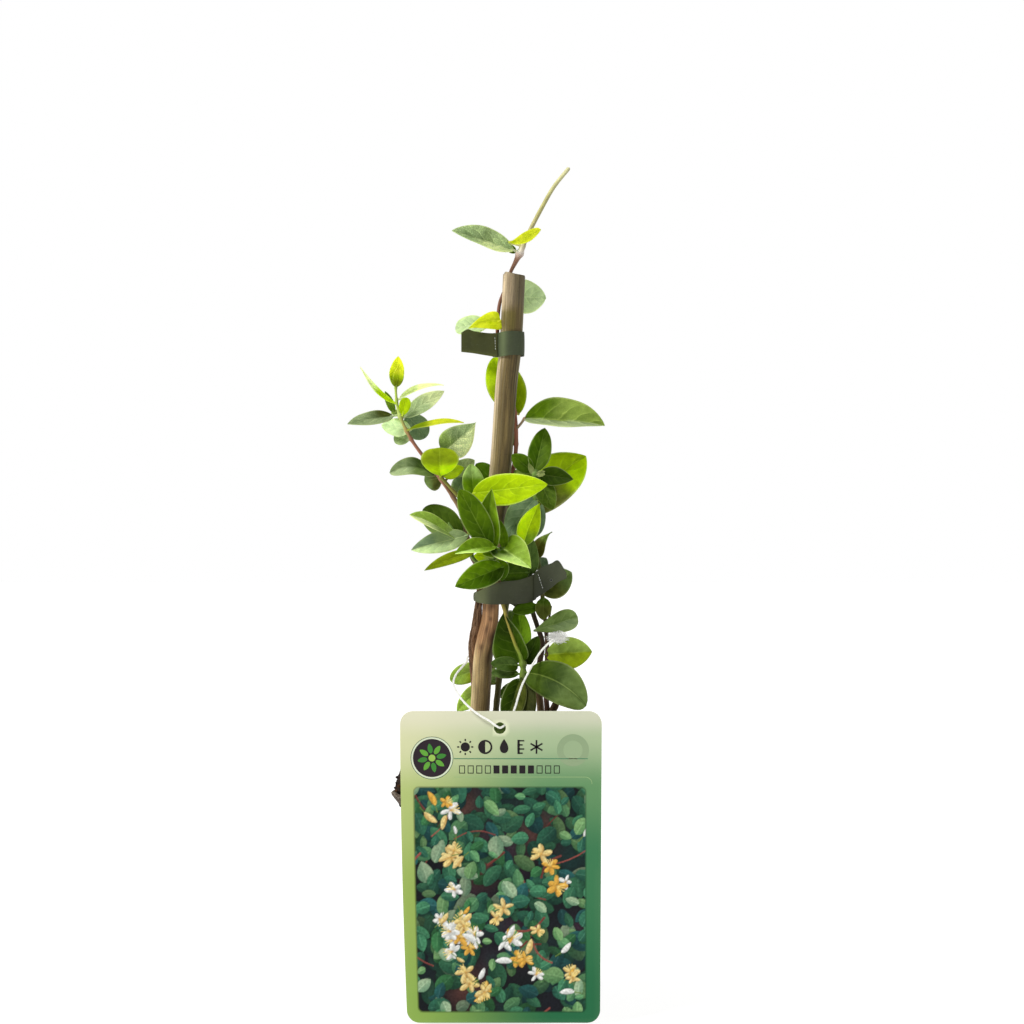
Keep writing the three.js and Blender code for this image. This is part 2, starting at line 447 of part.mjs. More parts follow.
function pot() {
  const inner = (r) => r - POT_WALL;
  const body = solid(lathe([
    [0, 0], [POT_BASE_R - 0.8, 0], [POT_BASE_R, 1.2], [POT_WALL_R, POT_WALL_TOP],
    [POT_LIP_R - 0.3, POT_LIP_TOP - 1.6], [POT_LIP_R, POT_LIP_TOP - 0.7], [POT_LIP_R - 0.6, POT_LIP_TOP],
    [inner(POT_LIP_R), POT_LIP_TOP - 0.2], [inner(POT_WALL_R) + 0.2, POT_WALL_TOP + 0.4],
    [inner(POT_BASE_R), POT_FLOOR], [0, POT_FLOOR],
  ], 36));
  const holes = Array.from({ length: DRAIN_COUNT }, (_, i) => {
    const angle = 2 * Math.PI * i / DRAIN_COUNT + 0.3;
    const hole = new THREE.CylinderGeometry(DRAIN_R, DRAIN_R, 3 * POT_FLOOR, 10);
    hole.rotateX(Math.PI / 2);
    hole.translate(DRAIN_RING_R * Math.cos(angle), DRAIN_RING_R * Math.sin(angle), POT_FLOOR / 2);
    return solid(hole);
  });
  return body.subtract(wasm.Manifold.union(holes));
}

// Soil fills the pot and mounds above its lip, lumpy on top, with a plain hole for the cane
// and for each stem.
function soil() {
  const wall = POT_WALL + GAP;
  const geometry = lathe([
    [0, POT_FLOOR + GAP], [POT_BASE_R - wall - 0.2, POT_FLOOR + GAP],
    [POT_WALL_R - wall - 0.1, POT_WALL_TOP + 0.4], [POT_LIP_R - wall - 0.4, POT_LIP_TOP - 0.2],
    [POT_LIP_R - 1.4, POT_LIP_TOP + 1.1], [POT_LIP_R - 2.4, POT_LIP_TOP + 4.6],
    [POT_LIP_R - 4.4, POT_LIP_TOP + 9], [38, SOIL_TOP - 2.4], [31, SOIL_TOP - 0.8], [23, SOIL_TOP],
    [15, SOIL_TOP], [8, SOIL_TOP], [0, SOIL_TOP],
  ], 28);
  const pos = geometry.attributes.position;
  for (let i = 0; i < pos.count; i++) {
    const x = pos.getX(i), y = pos.getY(i), z = pos.getZ(i);
    const lift = THREE.MathUtils.smoothstep(z, POT_LIP_TOP + 3, POT_LIP_TOP + 9);
    const lump = Math.sin(0.31 * x + 1.7) * Math.cos(0.27 * y - 0.6) + 0.7 * Math.sin(0.52 * y + 0.4 * x);
    pos.setZ(i, z + SOIL_LUMP * lift * lump);
  }
  const deep = (rows) => {
    const path = rows.filter((p) => p[2] < 150).map((p) => [...p]);
    path[0][2] -= GAP + 0.1;
    return path;
  };
  const holes = Object.values(STEMS).flat().filter((path) => path[0][2] < POT_LIP_TOP)
    .map((path) => rod(deep(path), STEM_SIDES, 1, GAP + 0.1));
  holes.push(rod(deep(CANE_PATH), CANE_SIDES, 1, GAP));
  return solid(geometry).subtract(wasm.Manifold.union(holes));
}

function cane() {
  const top = CANE_PATH[CANE_PATH.length - 1];
  const rounded = [...CANE_PATH, [top[0] + 0.03, top[1], top[2] + 0.9, top[3] - 0.8]];
  return rod(rounded, CANE_SIDES, 1);
}

// ---- ties ----------------------------------------------------------------------------
// Each station of a tape is x, y, bottom z, top z.
function tape(stations, closed, half) {
  const n = stations.length;
  const rings = stations.map(([x, y, low, high], i) => {
    const a = stations[closed ? (i + n - 1) % n : Math.max(i - 1, 0)];
    const b = stations[closed ? (i + 1) % n : Math.min(i + 1, n - 1)];
    const along = new THREE.Vector2(b[0] - a[0], b[1] - a[1]).normalize();
    const ox = along.y * half, oy = -along.x * half;
    return [
      V(x - ox, y - oy, low), V(x + ox, y + oy, low),
      V(x + ox, y + oy, high), V(x - ox, y - oy, high)];
  });
  return solid(loft(rings, { closed }));
}

const tie = (loop, tail) => tape(loop, true, TAPE / 2).add(tape(tail, false, TAPE));

// A staple's wire lies on the tape's face, along the line from `a` to `b`.
function staple(a, b) {
  const section = [[-0.3, -0.2], [0.3, -0.2], [0.3, 0.2], [-0.3, 0.2]];
  const wire = new THREE.ExtrudeGeometry(
    new THREE.Shape(section.map((p) => new THREE.Vector2(...p))),
    { steps: 1, extrudePath: new THREE.LineCurve3(V(...a), V(...b)) });
  return solid(wire);
}

// ---- label, cord and knot --------------------------------------------------------------
// The card narrows towards its foot, mostly on the left.
const cardFall = (z) => (CARD.top - z) / (CARD.top - CARD.bottom);
const cardLeft = (z) => CARD.left + CARD.taper * Math.max(cardFall(z), 0) ** 1.8;
const cardRight = (z) => CARD.right - CARD.slant * cardFall(z);

function labelCard() {
  const { bottom, top, corner, back, thick } = CARD;
  const arc = (side, z, from) => Array.from({ length: 6 }, (_, i) => {
    const angle = THREE.MathUtils.degToRad(from + 18 * i);
    const edge = side > 0 ? cardRight(z) - corner : cardLeft(z) + corner;
    return new THREE.Vector2(edge + corner * Math.cos(angle), z + corner * Math.sin(angle));
  });
  const straight = top - bottom - 2 * corner;
  const rise = [0.12, 0.25, 0.38, 0.52, 0.68, 0.84].map((s) => bottom + corner + s * straight);
  const shape = new THREE.Shape([
    ...arc(1, bottom + corner, -90), ...arc(1, top - corner, 0), ...arc(-1, top - corner, 90),
    ...rise.reverse().map((z) => new THREE.Vector2(cardLeft(z), z)), ...arc(-1, bottom + corner, 180)]);
  const hole = new THREE.Path();
  hole.absarc(CARD_HOLE.x, CARD_HOLE.z, CARD_HOLE.r, 0, 2 * Math.PI, true);
  shape.holes.push(hole);
  const geometry = new THREE.ExtrudeGeometry(shape, { depth: thick, bevelEnabled: false, curveSegments: 5 });
  geometry.rotateX(Math.PI / 2);
  geometry.translate(0, back, 0);
  return solid(geometry);
}

const knotCore = (extra) => {
  const ball = new THREE.SphereGeometry(KNOT.r + extra, 12, 8);
  ball.scale(1.15, 0.95, 1);
  ball.translate(KNOT.x, KNOT.y, KNOT.z);
  return solid(ball);
};

// Each strand end of the frayed knot: x, y, z, radius.
const HEART = [KNOT.x, KNOT.y, KNOT.z, 0.9];
const FRAYS = [
  [HEART, [24.6, -9.2, 168.8, 0.8], [22.6, -9.8, 168.6, 0.6], [21.2, -10.0, 167.4, 0.35]],
  [HEART, [27.0, -9.4, 170.2, 0.8], [25.4, -10.0, 171.4, 0.55], [23.8, -10.2, 171.2, 0.35]],
  [HEART, [29.6, -9.0, 169.2, 0.8], [31.4, -9.4, 169.4, 0.6], [32.4, -9.6, 168.0, 0.35]],
  [HEART, [30.2, -9.2, 166.8, 0.75], [31.6, -9.6, 165.0, 0.55], [31.8, -9.8, 163.2, 0.35]],
];

function labelKnot() {
  return wasm.Manifold.union([knotCore(0), ...FRAYS.map((rows) => rod(rows, 5, 1))]);
}

// The cord loop: from the knot down through the card's hole, up in front of the card and
// round behind the stems, back to the knot. Its ends stop just clear of the knot.
function labelCord() {
  const section = new THREE.Shape(Array.from({ length: 8 }, (_, i) => {
    const angle = 2 * Math.PI * i / 8;
    return new THREE.Vector2(CORD_R * Math.cos(angle), CORD_R * Math.sin(angle));
  }));
  const path = new THREE.CatmullRomCurve3(CORD_PATH.map(([x, y, z]) => V(x, y, z)));
  const cord = solid(new THREE.ExtrudeGeometry(section, { steps: 46, extrudePath: path }));
  const room = [knotCore(GAP), ...FRAYS.map((rows) => rod(rows, 5, 1, GAP))];
  const parts = cord.subtract(wasm.Manifold.union(room)).decompose();
  return parts.reduce((a, b) => (a.volume() > b.volume() ? a : b));
}

// ---- the part --------------------------------------------------------------------------
const NODES = {
  pot: pot(),
  soil: soil(),
  cane: cane(),
  woody_trunk: shoot('woody_trunk'),
  leader_shoot: shoot('leader_shoot'),
  left_shoot: shoot('left_shoot'),
  front_vine: shoot('front_vine'),
  right_vine: shoot('right_vine'),
  side_vine: shoot('side_vine'),
  back_vine: shoot('back_vine'),
  upper_tie: tie(UPPER_LOOP, UPPER_TAIL),
  lower_tie: tie(LOWER_LOOP, LOWER_TAIL),
  upper_staple: staple([-0.9, -5.1, 302.4], [-0.7, -5.1, 296.6]),
  lower_staple: staple([18.4, -4.9, 196.2], [20.6, -5.5, 189.6]),
  label_card: labelCard(),
  label_cord: labelCord(),
  label_knot: labelKnot(),
};

const part = new THREE.Group();
for (const [name, body] of Object.entries(NODES)) {
  const [color, roughness] = LOOKS[name];
  const geometry = geometryOf(body);
  geometry.computeVertexNormals();
  const mesh = new THREE.Mesh(geometry, new THREE.MeshStandardMaterial({ color, roughness, metalness: 0 }));
  mesh.name = name;
  part.add(mesh);
}

export default part;
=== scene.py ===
"""Looks for a young honeysuckle tied to a bamboo cane in a fibre pot, with a hanging label.

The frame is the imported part: origin at the centre of the pot's base, +X to the right, -Y
towards the camera, +Z up. Numbers are in millimetres until a mesh is made, which is in metres.
"""
import math
import random

import bpy
import numpy as np
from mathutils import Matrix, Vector, noise
from mathutils.geometry import delaunay_2d_cdt


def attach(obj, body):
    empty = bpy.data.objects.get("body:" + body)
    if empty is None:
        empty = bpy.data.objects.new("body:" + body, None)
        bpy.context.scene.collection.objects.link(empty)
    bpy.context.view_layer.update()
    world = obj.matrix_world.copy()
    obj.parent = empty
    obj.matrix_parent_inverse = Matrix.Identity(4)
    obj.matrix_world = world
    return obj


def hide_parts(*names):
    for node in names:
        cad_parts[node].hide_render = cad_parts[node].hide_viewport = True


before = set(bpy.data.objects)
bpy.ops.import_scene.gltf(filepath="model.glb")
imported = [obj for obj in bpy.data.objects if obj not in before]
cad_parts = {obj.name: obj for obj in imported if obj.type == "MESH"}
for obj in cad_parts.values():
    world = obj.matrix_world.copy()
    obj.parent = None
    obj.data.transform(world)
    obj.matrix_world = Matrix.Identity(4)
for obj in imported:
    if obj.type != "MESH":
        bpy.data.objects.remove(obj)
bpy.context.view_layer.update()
scene = bpy.context.scene
MM = 0.001

# ---- camera ------------------------------------------------------------------------------
EYE = (6.75, -1500.0, 224.0)   # level with the middle of the plant, looking along +Y
LENS = 117.1875                # millimetres of lens on a 36 mm sensor

camera_data = bpy.data.cameras.new("camera")
camera_data.lens = LENS
camera_data.sensor_width = 36.0
camera_data.clip_end = 30.0
camera = bpy.data.objects.new("camera", camera_data)
scene.collection.objects.link(camera)
camera.location = [c * MM for c in EYE]
camera.rotation_euler = (math.pi / 2, 0, 0)
scene.camera = camera

# ---- tables: centre lines are x, y, z, radius ----------------------------------------------
CORD_PATH = [
    (26.48, -9.2, 167.55), (23.88, -10.8, 166.02), (19.88, -13.8, 162.17),
    (16.49, -17.5, 157.19), (13.7, -21.5, 152.24), (11.12, -26, 147.25), (9.34, -32, 142.18),
    (8.16, -38, 138.42), (6.41, -43.4, 134.66), (4.08, -46.2, 131.64), (1.91, -48.3, 130.12),
    (0.23, -50.2, 130.73), (-3.25, -50.4, 133.26), (-7.12, -50.4, 135.48), (-11, -49.4, 138.32),
    (-14.75, -44, 141.59), (-17.6, -36, 145.14), (-19.13, -27, 148.19), (-18.3, -18, 151.48),
    (-15.48, -8, 154.77), (-13.39, -1, 157.04), (-13.67, 5.5, 158.36), (-10.72, 10.6, 159.14),
    (-4.11, 15.5, 160.85), (3.97, 18, 162.67), (12.05, 15.5, 164.39), (19.07, 9, 166.66),
    (24.02, 2, 168.53), (26.76, -3.2, 169.12), (27.31, -6.6, 168.55),
]
CANE_PATH = [
    (-14, 0, 22, 4.3), (-10.7, 0, 84, 4.3), (-7.35, 0, 140, 4.35), (-6.3, 0, 158, 4.3),
    (-4.8, 0, 166.5, 4.4), (-3.2, 0, 175.5, 3.85), (-2.6, 0, 186, 3.8), (-1.4, 0, 204, 4.2),
    (-0.5, 0, 222, 4.6), (2.1, 0, 250, 4.85), (4.1, 0, 280, 4.9), (6.2, 0, 300, 5),
    (7.7, 0, 331, 5),
]

# The centre lines of each shoot: points as x, y, z, radius. A semicolon starts a side stem.
STEMS = {
    "woody_trunk": """
        -6 7.6 84 2.4, -7.4 7.2 120 2.3, -9.4 6.2 146 2.1, -10.3 5.4 157 2.1, -10.6 3.8 165.5 2,
        -9.2 1.2 174 1.8, -8.15 .6 183.5 1.45, -7 3.4 191 1.5, -2.6 7.4 199 1.7""",
    "leader_shoot": """
        -2.3 7.5 199.5 1.2, 1.3 8.2 215 1, 5 6.8 232 .95, 8.1 3 248 .95, 8.6 2.8 261 .9, 7.2 6.4 274 .85,
        4 7.8 288 .85, .6 5 299 .85, .3 3 309 .85, 1.4 5.6 319 .8, 4.6 6.8 326 .8, 6 6 332 .8,
        8.2 4.4 336.5 1, 10.2 3 340.5 1.45, 12.2 1.4 345 1.05, 15 0 351 .98, 20 -1 360.5 .95,
        25.5 -2 370 .92, 32 -3 378 .9; 8.6 2.8 261.5 .7, 10.6 1.6 263.6 .6, 12.4 .6 266.2 .6""",
    "left_shoot": """
        -6.35 4.7 196 1.05, -8.4 1.6 199.4 1.1, -10.8 -2.8 203 1.1, -12.4 -5 208 1.05, -14 -6 216 1,
        -16.8 -6.5 225.6 .95, -25 -7 238.8 .9, -33 -7.5 249 .8, -38.4 -7.5 256.6 .75, -42.2 -7.5 264 .65,
        -44.5 -7.5 271 .6, -45.2 -7.5 277 .55, -45.3 -7.5 281 .5; -14.2 -6.6 222.4 .7, -16.6 -8.4 229.6 .75,
        -20.4 -9.2 234.4 .75, -25 -8.2 239.6 .7; -13.4 -5.8 212.6 .8, -10.8 -8 222 .8, -10.6 -10.4 231 .75""",
    "front_vine": """
        13 -3 92 1.5, 12 -6 110 1.4, 11.2 -8.5 135 1.3, 11.8 -9.5 150 1.2, 11.2 -9.8 158.5 1.1,
        8.2 -9 165 .85, 5 -7.4 174.5 .8, 2.4 -6 183 .8, -.6 -6 189.5 .9, -3.2 -7 194 .95, -8 -8.6 200.4 .95,
        -12.2 -9.2 205.6 .85, -15 -9.5 210 .75, -18.5 -9.4 214.5 .6, -21.5 -9.4 219 .5; -1.6 -6.3 191.4 .8,
        -.8 -9 197 .8, -1.5 -12 203.5 .75, 1 -14 206 .65, 3.6 -15.2 208 .6""",
    "right_vine": """
        22 3 84 1.8, 20.4 1.5 120 1.7, 19.4 .4 138 1.6, 17.8 .2 147 1.6, 19.4 1.2 157 1.3, 20.4 1.4 165 1.2,
        18 2 173 1.1, 15.6 3 181 1.1, 14.6 3.4 192 1.1, 15 2.6 205 1, 16.4 1 220 .9, 17.4 -2.6 233 .8,
        17.3 -6.4 241 .7; 14.9 2.8 202 .7, 13.6 -2.4 205.4 .7, 11.8 -7.6 208.8 .65""",
    "side_vine": """
        26.5 -2.5 84 1.4, 24.4 -3 118 1.3, 22.3 -3.2 138 1.2, 21.6 -3.4 150 1.1, 22.6 -3.4 160 1,
        22 -3 172 .9, 20.6 -2.2 184 .85, 20 .4 194 .8, 18.6 3.6 203 .7; 22.2 -3.1 169 .5, 23.2 -3.6 175 .5,
        24.3 -4 181.5 .45""",
    "back_vine": """
        -3 17 84 1.5, -1.6 14.6 120 1.4, 1 13.4 150 1.3, 4 13.2 180 1.2, 6 13.6 205 1.1, 5 14.4 225 .95,
        2 15 240 .8, .6 15.4 250 .6""",
}

# The leaves of each shoot: x, y, z of the base, x, y, z of the tip, width, roll, fold, main tone, and
# by name what differs from a usual leaf: measures of its shape, other tones, strengths of its look;
# light= is painted light and shade that makes the whole leaf lighter or darker.
LEAVES = {
    "leader_shoot": """
        12.4 .5 266.2 48 -12 263.2 21 -40 33 olive arch=.5 point=.75 lo=celadon lobase=celadon hibase=leaf
            vein=1 edge=.7 pebble=.35 light=1.04;
        9.8 7.8 268.2 -2 22 294.8 17 0 4 limedeep arch=1 point=.7 tip=lime vein=.4 edge=.6;
        1.7 -1.7 309.9 -12.6 -8.6 306.2 8.6 0 4 bright sweep=-1.2 point=1 vein=.2 edge=.5 light=.95 root=.16;
        -3 2.4 308.6 -19 8 307.4 9.6 22 8 mint arch=.6 point=.45 vein=.6 edge=.8 light=.97;
        3.6 9 321.8 22.4 16 321.4 15.6 0 4 mint point=.75 vein=.5 edge=.8 light=.88;
        7.4 2 342 -19.6 -14 349.8 12.4 32 28 grey lobase=sage lotip=sage hi=pale hitip=sage vein=1 edge=1
            pebble=1 light=1.22 root=.7;
        5.4 -1 345.2 19.4 -10 350.4 5.8 -24 20 bright arch=.5 sweep=-1.7 point=.6 vein=.1 edge=.8 light=.78
            root=1.1;
        8.8 4.8 341.2 2.6 4.6 345 3.8 0 10 green;
        8.2 4.4 254.6 3 29 258.4 8.6 0 12 mid arch=1 vein=.6 edge=.5""",
    "left_shoot": """
        -45.3 -7.4 280 -44.2 -6.6 293.8 7 0 18 bright base=limedeep vein=.1;
        -45.3 -8 279.8 -43.6 -10 290 5.4 20 22 lime arch=.6 base=olivelime tip=bright vein=.1 light=.9;
        -45.6 -8 272.6 -60.4 -17 288.6 3 34 18 lime sweep=2.4 point=.9 edge=.9 base=lime tip=pale light=1.25;
        -43.8 -7 274.6 -24 4 281.6 3 -30 16 pale sweep=2.6 point=.9 edge=.8 light=1.5;
        -42.2 -8.6 267.4 -40.4 -9.6 275.2 5.4 0 10 lime point=.45 edge=.4 light=.95;
        -46 -6 268.4 -50.2 -5 278.2 3.8 0 15 green edge=.4 light=1.6;
        -46.4 -8 267 -66.2 -19 263.4 7.6 30 14 sage arch=.4 lo=grey lotip=sage lobase=moss vein=.8 edge=.9
            pebble=.7 light=.82;
        -38.6 -5.6 260.8 -52.4 4 263.4 8.2 5 4 mint vein=.4 edge=.7 light=1.05;
        -41.4 -6.4 266.6 -23.8 0 278.6 8.2 -20 14 sage arch=.5 vein=.9 edge=.7 pebble=.4 tip=pale;
        -40.6 -3 268 -32.2 8 257.4 11 0 8 bluish point=.6 vein=.5 edge=.6 light=1.35 pebble=.5;
        -39.3 -9.4 260.8 -14.8 -18 264.2 5.6 -60 20 bright arch=1 base=limedeep edge=.7 light=.82;
        -39.4 -4.4 256.2 -46.8 5 258 6.2 0 8 grey point=.6 vein=.8 edge=.6 light=1.5;
        -25.2 -9.2 240 -25.4 -20 252.4 17.4 0 4 limedeep arch=2 point=.36 lo=lime tip=olivelime vein=.25
            edge=.7 light=1.5 root=1;
        -28 -7.8 240.2 -47.6 -16 241.6 9 28 12 dark arch=2 sweep=-2.6 point=.5 hi=mid tip=grey hitip=sage
            vein=.5 edge=.6 light=.92;
        -24.6 -6.2 239.4 -33 3 238 10.5 0 6 moss tip=mid edge=.5 light=.85;
        -24 -5.4 250.6 -9.4 4 264.6 15 0 8 pale sweep=-.4 point=1.2 hi=grey hitip=sage hibase=mottled vein=1
            edge=1 pebble=1 light=1.15 root=.5;
        -24.4 -7.2 240.2 -14.8 -6.6 244 6.6 -10 8 limedeep edge=.8 vein=.3 light=1;
        -20.6 -3 240.6 -10 8 247.6 7.6 0 6 grey tip=celadon vein=.5 edge=.5 pebble=.6 light=1.3;
        -18.6 -4.6 231 -14.4 5 241.4 8 0 6 bluish vein=.4 edge=.6 base=grey light=1.35;
        -10.2 -9.2 230.6 -11.6 -8.4 245.6 10.5 12 12 leaf edge=1 tip=mid vein=.4 rib=.8 light=1.95;
        -10.8 -12 232.2 22.2 -26 236.2 14.4 -4 6 lime arch=.8 vein=.55 edge=.9 rib=.7;
        -13.2 -3.8 212.4 -25 -2.4 221.4 9.6 0 8 bluish;
        -27.4 -6.4 242.4 -24 15 246.6 10.4 0 12 mid arch=1 vein=.6 edge=.5;
        -43.4 -6.8 267.4 -45.5 10 270.4 6 0 12 fresh arch=1 vein=.5 edge=.6""",
    "front_vine": """
        -15 -10.4 210.2 -38.2 -23 223 8.2 36 30 mottled arch=.6 sweep=-.8 point=.7 lo=fresh lobase=mottled
            hitip=pale vein=.5 edge=1 rib=1 pebble=.5 light=1.15 root=1.3;
        -13 -12.4 213.6 -38 -17 207.2 10.2 12 8 grey arch=.4 hi=sage hibase=grey lotip=bluish vein=.5
            edge=.7 rib=1 light=1.3;
        -15.4 -8.4 213.6 -33.4 -2 225.4 14 0 6 green point=.6 hi=mid vein=.5 edge=.5;
        -10.2 -10 206.2 -31.8 -24 198.4 5.8 18 12 olivelime arch=1 sweep=-.4 edge=.7 light=1.2;
        -.9 -18 208.4 -18.2 -30 206 10.4 40 30 vivid arch=.8 hi=fresh hibase=vivid hitip=palegreen vein=.5
            edge=1 pebble=.4 light=1.35;
        3 -12.6 199.8 -18.2 -26 191.2 12.4 8 10 leafdark arch=.5 lo=leaf vein=.8 edge=1 hibase=deep
            light=1.6;
        .2 -12.4 202.6 2.4 -12.8 193.4 9 0 6 leafdark base=leaf edge=.6 light=1.3;
        -2.4 -12.6 203.4 -10.2 -15.5 204.6 5.6 10 8 limedeep base=olive tip=limedeep edge=.7 light=1.3;
        .2 -14.6 206.4 -6.2 -18.2 205.4 4.6 10 10 leaf edge=.9 light=1.3;
        3.8 -15.8 208.4 1.4 -20 220.2 5 0 14 leaf edge=.6 vein=.4 light=1.2;
        1.8 -14.4 208.4 15 -30 199.6 17.6 -28 28 palegreen point=.85 hi=fresh lobase=leafdark hibase=vivid
            vein=.4 edge=1 light=1.15 root=.3;
        -1.6 -14.2 207.6 -2.4 -25 233.8 11.6 -18 22 leafdark sweep=1.4 point=.9 lo=leaf lotip=vivid
            hitip=leaf vein=.4 edge=1 light=1.3;
        -3 -16.6 208.4 -16.2 -31 233.6 12.8 8 14 leaf arch=.5 point=.6 base=leafdark hi=leaf edge=.8 vein=.7
            rib=.7 light=1.2;
        10.4 -7.6 156.6 2.6 -6.4 178.4 20.6 -30 30 leafdark tip=deep vein=.7 edge=.5 root=.24;
        9.4 -7.6 155.4 -2.6 -12 156.4 7.4 24 8 dark point=.6 hibase=deep vein=.4 light=1.3 root=.4;
        11.6 -4.4 159.4 9.6 .8 180.4 9.4 6 10 vivid point=.7 hitip=leafdark vein=.5 edge=.4 light=1.7;
        9.8 -9.4 151.6 -2.6 -7.4 152 5.2 14 8 dark arch=.4 point=.7 base=deep edge=.4 light=1.2;
        10.4 -11.8 149.6 3.8 -25 130 11.4 -8 10 deep point=.7 hi=moss vein=.7 edge=.6 light=1.05;
        12.8 -10.8 149.2 14.4 -21 130.6 8.6 8 8 moss point=.7 vein=.3 light=.4;
        13.6 -12.2 152.2 39.4 -26 138.4 18 -4 6 dark arch=1.2 sweep=3 point=.5 lotip=mid hitip=mid
            base=green vein=.25 edge=.5 rib=1 light=.9 root=.44;
        11.2 -10 126.5 -11 -25 126.5 14 4 8 mid arch=.6 point=.6 vein=.6 edge=.5;
        12.6 -5.6 156 18.5 -7 168.4 7.8 0 8 deep point=.7 vein=.4 edge=.4 light=1.15 root=.4""",
    "right_vine": """
        17 -6.8 242 21.6 1 262 10.8 5 12 leafdark arch=.4 lo=green vein=.6 edge=.9 rib=1 light=1.35;
        15.8 -6.6 242.4 6.6 -5 249.8 8 0 8 leafdark tip=leaf vein=.4 edge=.5;
        19 -7.6 240.8 33.6 -20 238.6 8.8 -6 8 deep arch=.5 vein=.4 edge=.6;
        18.6 -7.4 239.4 25 -16 225.2 9.6 0 12 green point=.7 vein=.6 edge=.5 pebble=.5 light=1;
        16.4 -7.4 240.6 14.2 -9 245.8 2.6 0 20 bud;
        17.6 -8 240.6 22.2 -10.4 241.8 3 0 20 bud;
        14.6 2.6 221.8 40.4 12 249.6 22 0 5 limedeep arch=1 sweep=3.2 point=.82 lo=moss lotip=lime
            lobase=moss vein=.5 edge=.7 light=1.15 root=.9;
        15.4 -2 240 7.4 .6 242.4 5.2 0 6 olive;
        17.4 -2 229.6 4.4 -12.2 212 13.4 0 6 bluish sweep=-.8 vein=.9 edge=.5 light=1.4;
        16.4 -.6 212.6 20.4 -2.4 227.4 7 10 8 bluish;
        14.6 .6 195.8 15.4 -9 212.4 8 10 8 dark point=.7 pebble=.4 light=1.2 root=.4;
        11.8 -8.4 208.8 18.9 -20 227.6 10 0 8 lime arch=.5 sweep=.8 point=1 lo=limedeep lobase=vivid
            vein=.35 edge=.9 rib=.9 light=1.3 root=.8;
        14.2 -1.8 196.8 1.8 -4.4 196.4 10.4 10 6 deep point=.6 light=1.5;
        21 3 123 42 14 120 13 -45 12 mid arch=1 point=.6 vein=.6 edge=.5""",
    "side_vine": """
        21.6 -4 160 42.6 -6 161.4 14.8 -4 6 olivelime arch=.5 hi=olive vein=.25 edge=.5 light=1.25 root=.8;
        16.6 -4.6 170.8 36.2 -7 177 10 -5 6 mid arch=.5 point=.42 lo=grey lobase=mid vein=.6 edge=.6
            root=1.1;
        20 1.2 187.4 34 12 196.8 13.4 0 6 moss edge=.8 tip=mid light=.9;
        18.8 -3 181.4 7 -3.4 179.6 6.4 28 8 deep point=.6 light=2.5;
        21 -4.2 185.6 20.6 -6.6 175.6 7.4 0 8 moss point=.7 base=green;
        17.6 5 203.4 25 7 215 7 10 26 spotted sweep=2 point=1.6 edge=.7 tip=olive pebble=.5 light=1.2;
        18.2 5.2 198.2 22.4 10.4 203.2 6.8 0 6 bluish light=.8 root=.5;
        23.8 -4.2 133.4 27.2 -5.4 141 4.6 30 30 dry vein=.8;
        24.6 -4.4 121 40 -26 118 12 -45 12 green arch=1 point=.7 vein=.6 edge=.4""",
    "back_vine": """
        -6 13.8 153.6 -21.6 17 147.6 9.6 10 8 olive point=.6 hi=olivelime tip=fresh vein=.5 edge=.6;
        -6 12.4 145.6 -18.4 17 133.4 8.6 8 8 olive tip=fresh vein=.5 edge=.7 light=1.35;
        -2.6 12.4 239 -9.8 17 246 8.6 0 8 leafdark light=1.8;
        5.4 15.4 200 9 40 211 14 10 14 green arch=2 point=.7 vein=.6 edge=.4;
        4.4 15.6 214 -14.5 30 217 11.5 35 10 mid arch=1.4 vein=.6 edge=.5;
        5.4 15.8 220 19.5 33 227 12.5 -35 12 mid arch=1.6 point=.75 vein=.6 edge=.5;
        1.8 16.4 239 2 33 248.5 9 12 16 green arch=1 vein=.6 edge=.4;
        3.4 15.6 230.6 9 37 224 13 -10 8 olive arch=2.4 point=.7 vein=.4 edge=.4;
        4.6 14.4 184 17 31 182 10.5 -30 12 moss arch=.6 point=.7 light=.4;
        4.4 14.6 190 -9 33 195 10.5 25 10 dark arch=1.8 vein=.5 edge=.4;
        1.2 14.6 148.6 -5 36 149 10.5 10 12 mid arch=2 point=.6 vein=.6 edge=.5;
        1.2 14.8 140 15 35 141 11.5 -28 8 green arch=1.2 point=.7 vein=.6 edge=.4;
        2.6 14.6 170 11 33 176 12 -5 14 green arch=.8 vein=.6 edge=.4;
        -2.2 15.4 122 -21 33 125 13.5 30 12 mid arch=2 point=.7 vein=.6 edge=.5;
        -1.2 15.8 130 8 40 122 12.5 -15 12 green arch=1.6 point=.7 vein=.6 edge=.4""",
}

LOWER_LOOP = [
    (-10.4, 1.6, 184.2, 187.4), (-10.2, 5.4, 184.6, 187.6), (-8.4, 8.6, 184.6, 188.5),
    (-5, 9.9, 184.6, 190), (1, 9.2, 184.6, 191.5), (8, 7.6, 184.6, 193),
    (14.2, 6.4, 184.8, 194.5), (16.9, 4.6, 184.9, 195.6), (17.6, 1.6, 185, 196.2),
    (16.9, -1.6, 184.4, 196.2), (13.4, -4.4, 183.2, 194.6), (9, -6.4, 182.8, 193.4),
    (4, -8, 182.7, 193), (0, -8.4, 182.6, 192.2), (-4, -7.6, 182.7, 190.6),
    (-7.6, -5.2, 183.2, 188.8), (-9.7, -2.2, 183.8, 187.8),
]
LOWER_TAIL = [
    (16.6, -2.4, 184.6, 196.4), (20.4, -3.6, 187.2, 199.4), (24.4, -4.6, 190, 201),
    (27.6, -5, 192.6, 202.2), (31.2, -5.2, 194.2, 196.6),
]
